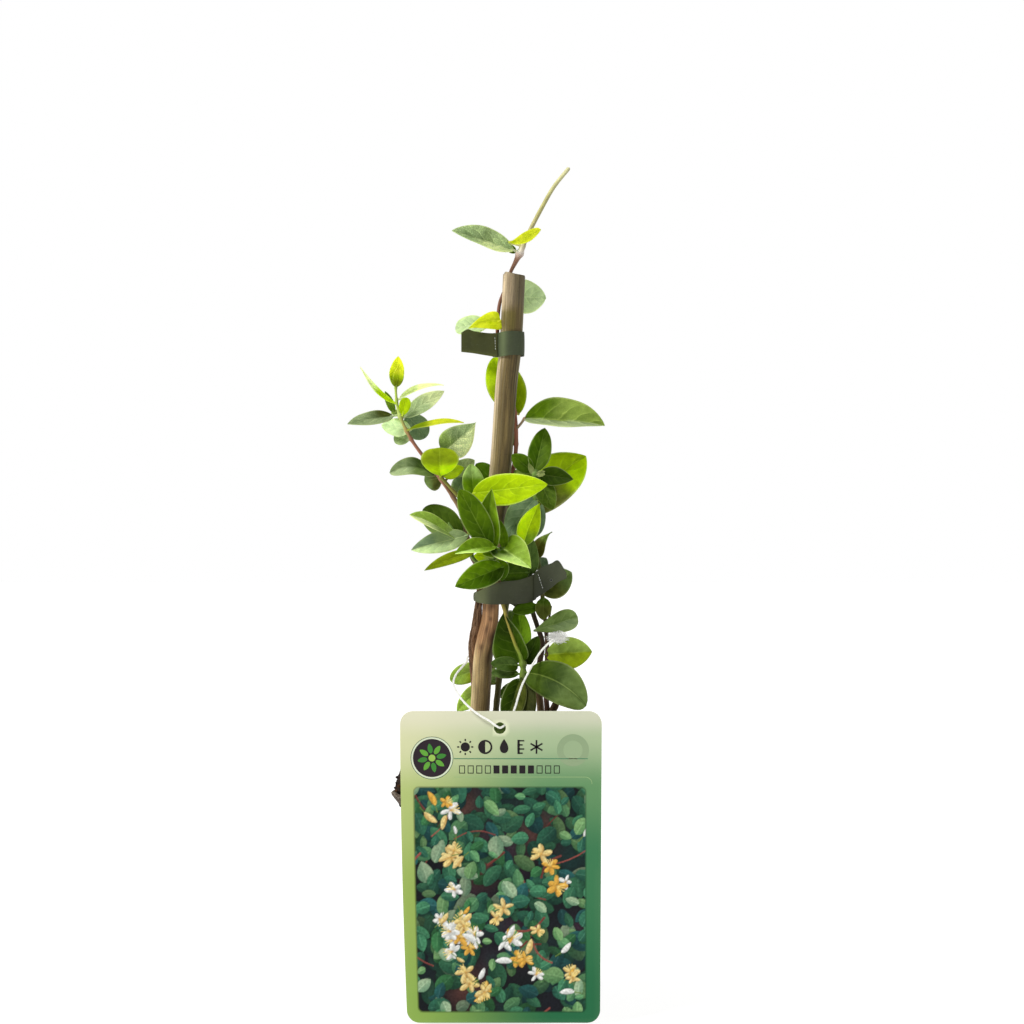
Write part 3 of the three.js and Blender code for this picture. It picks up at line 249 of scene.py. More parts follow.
UPPER_LOOP = [
    (0.1, -2.6, 293.6, 304.4), (-1.3, 1, 293.8, 304.6), (-1.9, 4.6, 294, 304.6),
    (-0.6, 8, 294, 304.6), (3.6, 9, 294, 304.6), (8.8, 6.8, 294, 304.6), (11.6, 2.7, 294, 304.8),
    (12.1, -1, 294.2, 305), (10.5, -4.5, 294.4, 305), (7, -6.1, 294.4, 305.2),
    (3.4, -5.4, 294, 305),
]
UPPER_TAIL = [
    (0.2, -3.4, 293.5, 304.2), (-5, -3.9, 294.3, 304.4), (-10.5, -4.3, 295.2, 305.2),
    (-13.2, -4.5, 295.5, 306), (-16, -4.7, 295.8, 304.4),
]

# ---- colours -------------------------------------------------------------------------------
# Each tone is the light and the dark colour that a leaf is mottled with, as display values.
TONES = {
    "bright": ((238, 242, 62), (202, 216, 14)), "lime": ((192, 218, 14), (152, 184, 4)),
    "limedeep": ((162, 186, 10), (120, 146, 2)), "olivelime": ((140, 158, 26), (104, 120, 8)),
    "olive": ((148, 170, 82), (110, 130, 52)), "fresh": ((158, 186, 84), (124, 152, 50)),
    "vivid": ((120, 154, 36), (84, 110, 10)), "leaf": ((94, 124, 10), (62, 90, 2)),
    "leafdark": ((70, 98, 10), (42, 68, 2)), "green": ((86, 110, 30), (56, 80, 10)),
    "deep": ((56, 78, 12), (30, 50, 2)), "dark": ((84, 106, 50), (52, 74, 26)),
    "moss": ((102, 110, 46), (66, 74, 22)), "mid": ((126, 150, 86), (92, 112, 54)),
    "grey": ((148, 166, 118), (112, 132, 88)), "celadon": ((184, 198, 156), (146, 162, 120)),
    "sage": ((192, 208, 162), (154, 176, 130)), "bluish": ((118, 138, 106), (82, 104, 76)),
    "pale": ((222, 230, 186), (190, 202, 152)), "palegreen": ((206, 228, 146), (170, 198, 108)),
    "mint": ((214, 232, 190), (184, 208, 158)), "mottled": ((162, 186, 106), (112, 134, 70)),
    "bud": ((172, 182, 122), (112, 126, 64)), "spotted": ((104, 106, 38), (60, 56, 16)),
    "dry": ((112, 84, 64), (52, 38, 28)),
}
LIT = 0.8                      # how bright a blade facing the camera comes out
MARGIN = (226, 236, 170)       # the pale rim that many of the leaves have
UNDERSIDE = (158, 184, 134)

# Stem colours by height, from the bottom up.
STEM_TONES = {
    "leader_shoot": [(198, (104, 78, 56)), (246, (150, 92, 72)), (262, (172, 112, 88)),
                     (290, (132, 74, 58)), (326, (122, 88, 70)), (338, (150, 112, 92)),
                     (341.5, (226, 214, 204)), (345, (190, 180, 136)), (362, (172, 168, 108)),
                     (378, (206, 204, 156))],
    "left_shoot": [(196, (98, 78, 54)), (216, (116, 96, 66)), (228, (138, 112, 78)),
                   (238, (150, 104, 80)), (256, (146, 96, 76)), (262, (160, 150, 82)),
                   (268, (176, 196, 104)), (281, (158, 178, 72))],
    "front_vine": [(92, (96, 72, 48)), (140, (104, 92, 50)), (152, (96, 118, 44)),
                   (160, (108, 132, 40)), (168, (150, 138, 58)), (184, (160, 148, 70)),
                   (196, (92, 118, 40)), (220, (118, 150, 70))],
    "right_vine": [(84, (88, 66, 46)), (140, (116, 92, 64)), (152, (86, 64, 48)),
                   (162, (70, 50, 38)), (176, (64, 52, 36)), (186, (70, 92, 34)),
                   (214, (76, 112, 36)), (241, (110, 140, 66))],
    "side_vine": [(84, (78, 52, 42)), (140, (96, 62, 50)), (152, (74, 52, 38)),
                  (176, (72, 50, 34)), (190, (92, 96, 44)), (203, (104, 116, 52))],
    "back_vine": [(84, (96, 76, 52)), (160, (104, 104, 58)), (250, (112, 136, 62))],
}
SIDE_TONES = {"left_shoot": (128, 132, 44), "leader_shoot": (136, 124, 96)}


def lin(colour):
    """A display colour from 0 to 255 as a linear one from 0 to 1."""
    c = np.asarray(colour, float) / 255
    return np.where(c <= 0.04045, c / 12.92, ((c + 0.055) / 1.055) ** 2.4)


def mix(a, b, t):
    t = np.clip(np.asarray(t, float), 0, 1)[..., None]
    return np.asarray(a) * (1 - t) + np.asarray(b) * t


def smooth(lo, hi, x):
    t = np.clip((np.asarray(x, float) - lo) / (hi - lo), 0, 1)
    return t * t * (3 - 2 * t)


def washed(tone, x, *washes):
    """A colour with others laid over it in turn, each coming in from one value of x to another."""
    colour = lin(tone)
    for over, lo, hi in washes:
        colour = mix(colour, lin(over), smooth(lo, hi, x))
    return colour


def field(points, size, seed=0.0):
    """Smooth noise of about -1 to 1 at each point, with lumps of the given size."""
    flat = np.asarray(points, float).reshape(-1, 3) / size + seed
    return np.array([noise.noise(Vector(p)) for p in flat]).reshape(np.shape(points)[:-1])


def unit(v):
    v = np.asarray(v, float)
    return v / np.maximum(np.linalg.norm(v, axis=-1, keepdims=True), 1e-9)


def circle(count):
    """Angles spread evenly round a circle."""
    return 2 * math.pi * np.arange(count) / count


def xyz(x, y, z):
    """Points from numbers or arrays that fit one another."""
    return np.stack(np.broadcast_arrays(x, y, z), -1)


# ---- mesh building -------------------------------------------------------------------------
USUAL_LOOK = {"vein": 0.2, "edge": 0.3, "rib": 0.45, "pebble": 0.2}
MARKS = ("under", *USUAL_LOOK)     # what every point of a leaf tells its material


class Skin:
    """Gathers grids of points into one mesh, with a colour and the marks at every point."""

    def __init__(self):
        self.points, self.faces, self.uvs = [], [], []
        self.tints, self.marks, self.slots, self.count = [], [], [], 0

    def put(self, points, faces, uvs, tint, mark=0, slot=0):
        """Adds points, faces as rows of indices, and a texture coordinate for each corner."""
        n = len(points)
        self.points.append(np.asarray(points, float))
        self.tints.append(np.broadcast_to(np.asarray(tint, float), (n, 3)))
        self.marks.append(np.broadcast_to(np.asarray(mark, float), (n, len(MARKS))))
        self.faces += [tuple(int(i) + self.count for i in f) for f in faces]
        self.uvs += [uv for face in uvs for uv in face]
        self.slots += [slot] * len(faces)
        self.count += n

    def flat(self, points, faces, tint):
        """Faces that need no texture coordinates of their own."""
        self.put(points, faces, [[(0.5, 0.5)] * len(f) for f in faces], tint)

    def grid(self, points, tint, uv=None, mark=0, slot=0, wrap=False, caps=False):
        """A grid of points as rows; wrap joins the last column to the first."""
        rows, cols = points.shape[:2]
        if uv is None:
            u, v = np.meshgrid(np.linspace(0, 1, cols + wrap), np.linspace(0, 1, rows))
            uv = np.stack([u, v], -1)
        index = np.arange(rows * cols).reshape(rows, cols)
        if wrap:
            index = np.concatenate([index, index[:, :1]], 1)
        low, high = slice(None, -1), slice(1, None)
        corner = [(low, low), (low, high), (high, high), (high, low)]
        faces = np.stack([index[c] for c in corner], -1).reshape(-1, 4).tolist()
        uvs = np.stack([uv[c] for c in corner], 2).reshape(-1, 4, 2).tolist()
        if caps:
            faces += [index[0, :cols][::-1].tolist(), index[-1, :cols].tolist()]
            uvs += [uv[0, :cols][::-1].tolist(), uv[-1, :cols].tolist()]
        self.put(points.reshape(-1, 3), faces, uvs,
                 np.broadcast_to(tint, (rows, cols, 3)).reshape(-1, 3),
                 np.broadcast_to(mark, (rows, cols, len(MARKS))).reshape(-1, len(MARKS)), slot)

    def tube(self, line, radius, sides, tint, slot=0, caps=True, around=1.0):
        self.grid(tube_rings(line, radius, sides), tint, run_uv(line, sides, around), slot=slot,
                  wrap=True, caps=caps)

    def make(self, name, materials, sharp=None):
        mesh = bpy.data.meshes.new(name)
        mesh.from_pydata((np.concatenate(self.points) * MM).tolist(), [], self.faces)
        layer = mesh.uv_layers.new(name="UVMap")
        layer.data.foreach_set("uv", np.array(self.uvs, np.float32).ravel())
        tint = mesh.attributes.new("tint", "FLOAT_COLOR", "POINT")
        rgba = np.ones((self.count, 4), np.float32)
        rgba[:, :3] = np.concatenate(self.tints)
        tint.data.foreach_set("color", rgba.ravel())
        for mark, values in zip(MARKS, np.concatenate(self.marks).astype(np.float32).T):
            layer = mesh.attributes.new(mark, "FLOAT", "POINT")
            layer.data.foreach_set("value", np.ascontiguousarray(values))
        for m in materials:
            mesh.materials.append(m)
        mesh.polygons.foreach_set("material_index", self.slots)
        mesh.polygons.foreach_set("use_smooth", [True] * len(mesh.polygons))
        if sharp is not None:
            mesh.set_sharp_from_angle(angle=math.radians(sharp))
        mesh.update()
        made = bpy.data.objects.new(name, mesh)
        scene.collection.objects.link(made)
        return made


def spline(rows, per, closed=False):
    """Uniform Catmull-Rom through the rows, its ends held unless it is closed."""
    p = np.asarray(rows, float)
    n = len(p)
    out = []
    for i in range(n if closed else n - 1):
        a, b, c, d = p[[(i + k) % n if closed else min(max(i + k, 0), n - 1) for k in (-1, 0, 1, 2)]]
        for k in range(per):
            t = k / per
            out.append(0.5 * (2 * b + (c - a) * t + (2 * a - 5 * b + 4 * c - d) * t * t
                              + (3 * b - a - 3 * c + d) * t ** 3))
    if not closed:
        out.append(p[-1])
    return np.array(out)


def tube_rings(line, radius, sides):
    """Rings of points round a line, carried along it without turning."""
    line = np.asarray(line, float)
    along = unit(np.gradient(line, axis=0))
    side = unit(np.cross(along[0], (0.05, 1.0, 0.1)))
    rings = []
    radius = np.broadcast_to(np.asarray(radius, float).T, (sides, len(line))).T
    turn = circle(sides)[:, None]
    for i in range(len(line)):
        side = unit(side - along[i] * np.dot(side, along[i]))
        front = np.cross(side, along[i])
        rings.append(line[i] + radius[i][:, None] * (np.cos(turn) * side + np.sin(turn) * front))
    return np.array(rings)


def run_along(line):
    """How far along a line each of its points is."""
    return np.r_[0, np.cumsum(np.linalg.norm(np.diff(line, axis=0), axis=1))]


def run_uv(line, sides, around=1.0):
    """Texture coordinates of a tube: round it, and along it in centimetres."""
    u, v = np.meshgrid(np.linspace(0, around, sides + 1), run_along(line) / 10)
    return np.stack([u, v], -1)


def round_end(line, radius):
    """Adds a domed end to a line with radii, so that a tube doesn't end flat."""
    way = unit(line[-1] - line[-2])
    r = radius[-1]
    rise = np.linspace(0.4, 1.45, 3)
    extra = line[-1] + way * r * np.sin(rise)[:, None]
    return np.concatenate([line, extra]), np.concatenate([radius, r * np.cos(rise)])


# ---- materials -----------------------------------------------------------------------------
class Nodes:
    """Short calls for building the node tree of a material or of the world."""

    def __init__(self, name, kind="materials", output="OutputMaterial"):
        self.owner = getattr(bpy.data, kind).new(name)
        self.owner.use_nodes = True
        self.tree = self.owner.node_tree
        self.tree.nodes.clear()
        self.out = self.new(output)

    def new(self, kind, inputs=None, **props):
        node = self.tree.nodes.new("ShaderNode" + kind)
        for key, value in props.items():
            setattr(node, key, value)
        for key, value in (inputs or {}).items():
            self.feed(node.inputs[key], value)
        return node

    def feed(self, socket, value):
        if isinstance(value, bpy.types.NodeSocket):
            self.tree.links.new(value, socket)
        elif hasattr(value, "__len__") and len(value) == 3 and len(socket.default_value) == 4:
            socket.default_value = (*value, 1.0)
        else:
            socket.default_value = value

    def maths(self, operation, *values):
        return self.new("Math", dict(enumerate(values)), operation=operation).outputs[0]

    def add(self, a, b):
        return self.maths("ADD", a, b)

    def sub(self, a, b):
        return self.maths("SUBTRACT", a, b)

    def mul(self, a, b):
        return self.maths("MULTIPLY", a, b)

    def step(self, lo, hi, value, most=1.0):
        """Smoothly from 0 at lo to the most at hi."""
        return self.new("MapRange", {"Value": value, "From Min": lo, "From Max": hi, "To Max": most},
                        interpolation_type="SMOOTHSTEP").outputs[0]

    def blend(self, factor, a, b, mode="MIX"):
        return self.new("Mix", {0: factor, 6: a, 7: b}, data_type="RGBA", blend_type=mode,
                        clamp_result=False).outputs[2]

    def shade(self, factor, a, b):
        return self.blend(factor, a, b, "MULTIPLY")

    def noise(self, scale, detail=2.0, rough=0.5, space="Object", stretch=None):
        vector = self.new("TexCoord").outputs[space]
        if stretch:
            vector = self.new("Mapping", {"Vector": vector, "Scale": stretch}).outputs[0]
        return self.new("TexNoise", {"Vector": vector, "Scale": scale, "Detail": detail,
                                     "Roughness": rough}).outputs[0]

    def streaks(self, around, along, scale, detail, rough):
        """Noise drawn out along a tube, as its texture coordinates run."""
        return self.noise(scale, detail, rough, "UV", (around, along, 1.0))

    def attribute(self, name, output="Fac"):
        return self.new("Attribute", attribute_name=name).outputs[output]

    def tint(self):
        return self.attribute("tint", "Color")

    def principled(self, colour, rough, height=None, distance=0.0, strength=1.0, gloss=0.5, **fixed):
        """The main surface, with a bump of so many millimetres from the height."""
        node = self.new("BsdfPrincipled", {"Base Color": colour, "Roughness": rough,
                                           "Specular IOR Level": gloss})
        for key, value in fixed.items():
            node.inputs[key.replace("_", " ")].default_value = value
        if height is not None:
            bump = self.new("Bump", {"Height": height, "Distance": distance * MM, "Strength": strength})
            self.feed(node.inputs["Normal"], bump.outputs[0])
        return node.outputs[0]

    def lit_through(self, share, face, colour):
        """A surface that lets a share of the light through."""
        glow = self.new("BsdfTranslucent", {"Color": colour}).outputs[0]
        return self.new("MixShader", {0: share, 1: face, 2: glow}).outputs[0]

    def finish(self, shader):
        self.tree.links.new(shader, self.out.inputs["Surface"])
        return self.owner


def leaf_material():
    """A blade: mottled colour, veins that follow its length and width, pale rim, glow."""
    n = Nodes("leaf_blade")
    uv = n.new("SeparateXYZ", {"Vector": n.new("TexCoord").outputs["UV"]})
    u, v = uv.outputs[0], uv.outputs[1]
    under, vein, edge, ribbed, pebble = [n.attribute(mark) for mark in MARKS]
    across = n.mul(n.sub(u, 0.5), 2.0)
    out = n.maths("ABSOLUTE", across)
    # side veins leave the rib and bend towards the tip
    curve = n.mul(n.maths("POWER", out, 1.3), 0.34)
    shift = n.mul(n.maths("SIGN", across), 0.035)
    course = n.add(n.sub(n.add(v, shift), curve), n.mul(n.noise(300.0), 0.09))
    course = n.mul(course, 5.0)
    wave = n.maths("ABSOLUTE", n.sub(n.maths("FRACT", course), 0.5))
    quilt = n.maths("FRACT", n.add(course, 0.5))
    fade = n.mul(n.mul(n.step(0.9, 0.35, out), n.step(0.04, 0.2, v)), vein)
    side_vein = n.mul(n.step(0.1, 0.0, wave), fade)
    width = n.maths("MULTIPLY_ADD", v, -0.03, 0.06)
    rib = n.mul(n.step(1.0, 0.3, n.maths("DIVIDE", out, width)), ribbed)
    veins = n.maths("MAXIMUM", n.mul(side_vein, 0.5), rib)
    cells = n.new("TexVoronoi", {"Vector": n.new("TexCoord").outputs["Object"], "Scale": 1150.0},
                  feature="DISTANCE_TO_EDGE").outputs[0]
    cells = n.mul(n.step(0.0, 0.22, cells), pebble)

    base = n.tint()
    mottle = n.noise(620.0, 4.0, 0.65)
    base = n.shade(n.step(0.42, 0.7, mottle, 0.32), base, (0.6, 0.66, 0.5))
    base = n.shade(n.step(0.56, 0.74, n.noise(1100.0), 0.3), base, (1.4, 1.34, 1.3))
    # painted light and shade: between two side veins the blade swells, so it goes from dark to light
    base = n.shade(n.mul(fade, 0.85), base, n.blend(quilt, (0.74, 0.77, 0.7), (1.2, 1.16, 1.2)))
    # painted shade in the grooves between the cells of a pebbled blade
    base = n.shade(n.mul(n.sub(pebble, cells), 0.55), base, (0.36, 0.44, 0.34))
    # painted shade at the base, darker beside the rib, and a painted highlight where the blade thins to its
    # margin
    base = n.shade(n.step(0.3, 0.0, v, 0.18), base, (0.5, 0.56, 0.5))
    base = n.shade(n.step(0.35, 0.0, out, 0.3), base, (0.6, 0.65, 0.6))
    base = n.shade(n.step(0.5, 1.0, out, 0.4), base, (1.32, 1.26, 1.15))
    pale = n.blend(0.16, n.shade(1.0, base, (1.9, 1.75, 1.9)), lin((206, 220, 132)))
    base = n.blend(n.mul(veins, 0.9), base, pale)
    margin = n.blend(0.5, n.shade(1.0, base, (1.8, 1.7, 1.8)), lin(MARGIN))
    base = n.blend(n.mul(n.step(0.89, 0.97, out, 0.75), edge), base, margin)
    base = n.blend(n.mul(under, 0.42), base, lin(UNDERSIDE))
    height = n.add(n.add(n.mul(veins, -0.8), n.mul(mottle, 0.22)), n.mul(cells, 0.9))
    face = n.principled(base, n.maths("MULTIPLY_ADD", mottle, 0.2, 0.4), height, 0.2, 0.6,
                        gloss=0.06)
    return n.finish(n.lit_through(0.3, face, n.shade(1.0, base, (1.25, 1.2, 0.6))))


def stem_material():
    """Green or brown stem: fine grooves along its length."""
    n = Nodes("stem_skin")
    grain = n.streaks(7.0, 1.2, 1.6, 3.0, 0.6)
    colour = n.shade(n.step(0.42, 0.72, grain, 0.4), n.tint(), (0.55, 0.5, 0.46))
    colour = n.shade(n.step(0.6, 0.75, n.noise(700.0), 0.2), colour, (1.5, 1.45, 1.35))
    return n.finish(n.principled(colour, 0.55, grain, 0.08, 0.4, gloss=0.28))


def bark_material():
    """Stringy bark: long dark and light fibres."""
    n = Nodes("woody_bark")
    grain = n.streaks(14.0, 0.7, 2.2, 6.0, 0.72)
    fine = n.streaks(40.0, 1.6, 2.2, 3.0, 0.7)
    colour = n.shade(n.step(0.62, 0.4, grain), n.tint(), (0.34, 0.3, 0.28))
    colour = n.blend(n.step(0.52, 0.68, fine, 0.8), colour, lin((190, 156, 124)))
    return n.finish(n.principled(colour, 0.9, n.add(grain, n.mul(fine, 0.5)), 0.5, 0.9, gloss=0.15))


def cane_material():
    """Weathered cane: streaks of fibre along it and a faint satin skin."""
    n = Nodes("cane_wood")
    wide = n.streaks(26.0, 0.3, 1.0, 3.0, 0.6)
    fine = n.streaks(80.0, 0.9, 1.0, 3.0, 0.7)
    pores = n.streaks(60.0, 12.0, 1.0, 2.0, 0.5)
    dark = n.shade(1.0, n.tint(), (0.4, 0.35, 0.3))
    light = n.shade(1.0, n.tint(), (1.5, 1.46, 1.4))
    colour = n.blend(n.step(0.42, 0.62, wide, 0.5), n.tint(), dark)
    colour = n.blend(n.step(0.48, 0.66, fine, 0.6), colour, light)
    colour = n.blend(n.step(0.58, 0.72, pores, 0.5), colour, dark)
    return n.finish(n.principled(colour, n.maths("MULTIPLY_ADD", fine, 0.3, 0.42),
                                 n.mul(n.add(wide, fine), 0.5), 0.2, 0.6, gloss=0.3))


def tape_material():
    """Soft tie tape: satin plastic with faint streaks from handling."""
    n = Nodes("tie_tape")
    cloud = n.noise(160.0, 3.0)
    fine = n.streaks(40.0, 4.0, 1.0, 3.0, 0.7)
    colour = n.shade(n.mul(cloud, 0.35), n.tint(), (0.7, 0.72, 0.72))
    colour = n.blend(n.step(0.55, 0.8, fine, 0.1), colour, lin((150, 156, 140)))
    return n.finish(n.principled(colour, n.maths("MULTIPLY_ADD", cloud, 0.2, 0.42),
                                 n.add(cloud, fine), 0.06, 0.4, gloss=0.3))


def fibre_material():
    """Moulded paper fibre of the pot: speckled and matt."""
    n = Nodes("pot_fibre")
    speck = n.noise(900.0, 4.0, 0.7)
    hairs = n.noise(520.0, 5.0, 0.75, stretch=(1.0, 1.0, 3.4))
    colour = n.blend(n.step(0.35, 0.65, n.noise(60.0, 3.0)), lin((74, 62, 54)), lin((96, 82, 70)))
    colour = n.blend(n.step(0.52, 0.62, speck, 0.8), colour, lin((176, 166, 150)))
    colour = n.blend(n.step(0.56, 0.68, hairs, 0.7), colour, lin((34, 26, 22)))
    height = n.add(n.mul(speck, 0.6), n.mul(hairs, 0.8))
    return n.finish(n.principled(colour, 0.93, height, 0.5, 0.8, gloss=0.15))


def soil_material():
    """Crumbs, dark and damp in patches."""
    n = Nodes("potting_soil")
    grain = n.noise(800.0, 5.0, 0.7)
    colour = n.shade(n.step(0.35, 0.7, n.noise(120.0, 3.0)), n.tint(), (0.55, 0.5, 0.48))
    colour = n.blend(n.step(0.58, 0.7, grain, 0.5), colour, lin((104, 78, 58)))
    return n.finish(n.principled(colour, 0.95, grain, 0.7, 0.9, gloss=0.15))


def print_material():
    """Printed plastic card: the ink is in the mesh's colours, under a clear gloss."""
    n = Nodes("card_print")
    cloud = n.noise(90.0, 4.0)
    colour = n.shade(n.step(0.4, 0.8, cloud, 0.07), n.tint(), (0.8, 0.86, 0.8))
    height = n.add(cloud, n.mul(n.noise(2600.0, 1.0), 0.1))
    return n.finish(n.principled(colour, n.maths("MULTIPLY_ADD", cloud, 0.14, 0.34), height, 0.12, 0.3,
                                 gloss=0.08, Coat_Weight=0.03, Coat_Roughness=0.2))


def cord_material():
    """White thread: a faint painted glow of its own keeps it bright."""
    n = Nodes("white_cord")
    ply = n.streaks(6.0, 30.0, 1.0, 3.0, 0.7)
    colour = n.shade(n.step(0.7, 0.35, ply), n.tint(), (0.84, 0.84, 0.82))
    face = n.principled(colour, 0.5, ply, 0.08, 0.4, gloss=0.3,
                        Emission_Color=(1, 1, 0.98, 1), Emission_Strength=0.2)
    return n.finish(n.lit_through(0.25, face, lin((240, 240, 236))))


def wire_material():
    """Bright staple wire with fine scratches."""
    n = Nodes("staple_wire")
    scratch = n.noise(1800.0, 3.0)
    colour = n.blend(scratch, lin((196, 198, 196)), lin((232, 234, 232)))
    return n.finish(n.principled(colour, n.maths("MULTIPLY_ADD", scratch, 0.2, 0.22), scratch, 0.03, 0.4,
                                 Metallic=0.85))


BLADE, STEM, BARK = leaf_material(), stem_material(), bark_material()
CANE_WOOD, TAPE_SKIN, FIBRE = cane_material(), tape_material(), fibre_material()
SOIL, PRINT, CORD_SKIN, WIRE = soil_material(), print_material(), cord_material(), wire_material()


def stands_for(piece, node):
    """The piece rides with the part and is shown in place of the solid of that name."""
    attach(piece, "root")
    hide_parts(node)
    return piece


# ---- cord and knot -------------------------------------------------------------------------
CORD_R, CORD_SIDES = 0.5, 12
KNOT = (27.6, -8.4, 167.6)
KNOT_FIBRES = 170


def cord_piece():
    """The cord, with its two plies as a slow double ridge round it."""
    line = spline(CORD_PATH, 8)
    turn = circle(CORD_SIDES)[None, :] + np.arange(len(line))[:, None] * 0.9
    skin = Skin()
    skin.tube(line, CORD_R * (0.94 + 0.06 * np.cos(2 * turn)), CORD_SIDES, lin((245, 245, 242)))
    return skin.make("label_cord_loop", [CORD_SKIN]), line


def knot_piece():
    """An overhand knot with its ends frayed into loose fibres."""
    rng = random.Random(11)
    skin = Skin()
    white = lin((236, 236, 232))
    heart = np.array(KNOT)
    t = np.linspace(0, 2 * math.pi, 49)
    trefoil = xyz(np.sin(t) + 2 * np.sin(2 * t), -0.7 * np.sin(3 * t), np.cos(t) - 2 * np.cos(2 * t))
    skin.tube(trefoil * 0.52 + heart, 0.5, 8, white, caps=False)
    for _ in range(KNOT_FIBRES):
        turn, reach = rng.uniform(0, 2 * math.pi), rng.uniform(0.55, 1.0)
        aim = heart + (5.6 * reach * math.cos(turn) - 0.3, -1.0 + rng.uniform(-1.2, 0.8),
                       3.3 * reach * math.sin(turn) + 0.3)
        start = heart + [rng.uniform(-2.0, 2.0) for _ in range(3)] * np.array((1, 0.5, 0.6))
        middle = (start + aim) / 2 + [rng.uniform(-1.4, 1.4) for _ in range(3)]
        line = spline([start, middle, aim], 4)
        radius = np.linspace(rng.uniform(0.08, 0.2), 0.05, len(line))
        skin.tube(line, radius, 5, white * rng.choice((0.5, 0.7, 0.9, 1.0)))
    return skin.make("label_knot_frayed", [CORD_SKIN])


cord, cord_line = cord_piece()
stands_for(cord, "label_cord")
knot = knot_piece()
stands_for(knot, "label_knot")

# ---- leaves and stems ----------------------------------------------------------------------
ROOT = 0.62                  # how fast a blade widens from its base; its point is how fast it narrows
USUAL_SHAPE = {"arch": 0.0, "sweep": 0.0, "point": 0.8, "root": ROOT}
ACROSS, ALONG = 15, 25       # points across and along a blade
SHEET = 0.32                 # thickness of a blade
STALK_R = 0.55


def stem_paths(name):
    """The centre lines of a shoot: its main stem, then its side stems."""
    return [[[float(word) for word in point.split()] for point in path.split(",")]
            for path in STEMS[name].split(";")]


def leaf_rows(name):
    """The leaves of a shoot: base, tip, seven measures, and the look by name."""
    for row in LEAVES[name].split(";"):
        words = row.split()
        numbers = [float(word) for word in words[:9]]
        looks = {"tone": words[9], **dict(word.split("=") for word in words[10:])}
        shape = [float(looks.get(key, usual)) for key, usual in USUAL_SHAPE.items()]
        yield np.array(numbers[:3]), np.array(numbers[3:6]), numbers[6:] + shape, looks


def half_width(t, point, root=ROOT):
    """How wide a blade is along its length, as a share of its widest."""
    s = root / (root + point)
    return t ** root * (1 - t) ** point / (s ** root * (1 - s) ** point)


def blade_frame(along, roll):
    """The normal and the side of a blade that faces -Y, rolled about its length."""
    face = unit(np.array((0, -1.0, 0)) + along * along[1])
    turn = math.radians(roll)
    normal = face * math.cos(turn) + np.cross(along, face) * math.sin(turn)
    return normal, np.cross(normal, along)


def nearest(paths, point):
    """The stem point nearest to a point, and its distance."""
    at = np.concatenate([spline(path, 8)[:, :3] for path in paths])
    gap = np.linalg.norm(at - point, axis=1)
    return at[gap.argmin()], gap.min()


def blade_surface(base, tip, measures, rng):
    """The upper face of a blade as a grid of points, rows from base to tip."""
    width, roll, fold, arch, sweep, point, root = measures
    s = np.linspace(0, 1, ALONG)
    ts = 0.35 * s + 0.65 * (1 - np.cos(math.pi * s)) / 2
    w = np.linspace(-1, 1, ACROSS)
    vs = w * (0.55 + 0.45 * abs(w))
    v = abs(vs)
    along = unit(tip - base)
    length = np.linalg.norm(tip - base)
    phase = [rng.uniform(0, 6.28) for _ in range(4)]
    bulge, ripple = rng.uniform(0.05, 0.12), rng.uniform(0.025, 0.06)
    bend = math.radians(fold)
    valley = (np.sqrt(v * v + 0.03) - math.sqrt(0.03)) / (math.sqrt(1.03) - math.sqrt(0.03))
    folds = max(2.5, length / 6)
    normal, side = blade_frame(along, roll)
    rows = []
    for t in ts:
        bow = 4 * t * (1 - t)
        mid = base + (tip - base) * t + normal * arch * bow + side * sweep * bow
        mid = mid - normal * 0.04 * length * max(0.0, t - 0.75) ** 2 * 8
        h = width / 2 * half_width(t, point, root) if 0 < t < 1 else 0.0
        h = max(h, 0.42 if t < 0.5 else 0.14)
        uneven = 1 + 0.018 * np.sin(9 * t + np.where(vs < 0, phase[0], phase[1]))
        reach = vs * h * uneven * (v * math.cos(bend) + (1 - v))
        wave = np.sin(2 * math.pi * 1.6 * t + np.where(vs < 0, phase[2], phase[3]))
        lift = h * (math.sin(bend) * valley + bulge * 4 * v * (1 - v) + ripple * v ** 3 * wave)
        pucker = np.sin(2 * math.pi * (folds * t - 1.3 * v ** 1.4)) * v * (1 - v) * bow
        lift = lift + pucker * 0.03 * width * min(1.0, width / 14)
        rows.append(mid + reach[:, None] * side + lift[:, None] * normal)
    return np.array(rows), ts, vs


def blade_colours(grid, ts, vs, looks, seed):
    """Mottles the two colours of a tone, with other tones on a side, the base or the tip: partly the leaf's
    own colour, partly painted light and shade on a half or an end of the blade.
    """
    cloud = 0.5 + 0.45 * field(grid, 9.0, seed) + 0.45 * field(grid, 2.2, seed + 9)

    def tone(name):
        light, dark = TONES[name]
        return mix(lin(dark), lin(light), cloud)

    wander = 0.1 * field(grid, 4.0, seed + 4)
    hi, lo = smooth(-0.05, 0.12, vs + wander), smooth(-0.05, 0.12, wander - vs)
    tip, base = smooth(0.42, 0.7, ts[:, None] + wander), 1 - smooth(0.22, 0.5, ts[:, None] + wander)
    colour = tone(looks["tone"])
    for key, weight in (("hi", hi), ("lo", lo), ("tip", tip), ("base", base), ("hitip", hi * tip),
                        ("lotip", lo * tip), ("hibase", hi * base), ("lobase", lo * base)):
        if key in looks:
            colour = mix(colour, tone(looks[key]), weight)
    # light= is painted light and shade: it makes the whole blade lighter or darker
    return colour * float(looks.get("light", 1)) / LIT


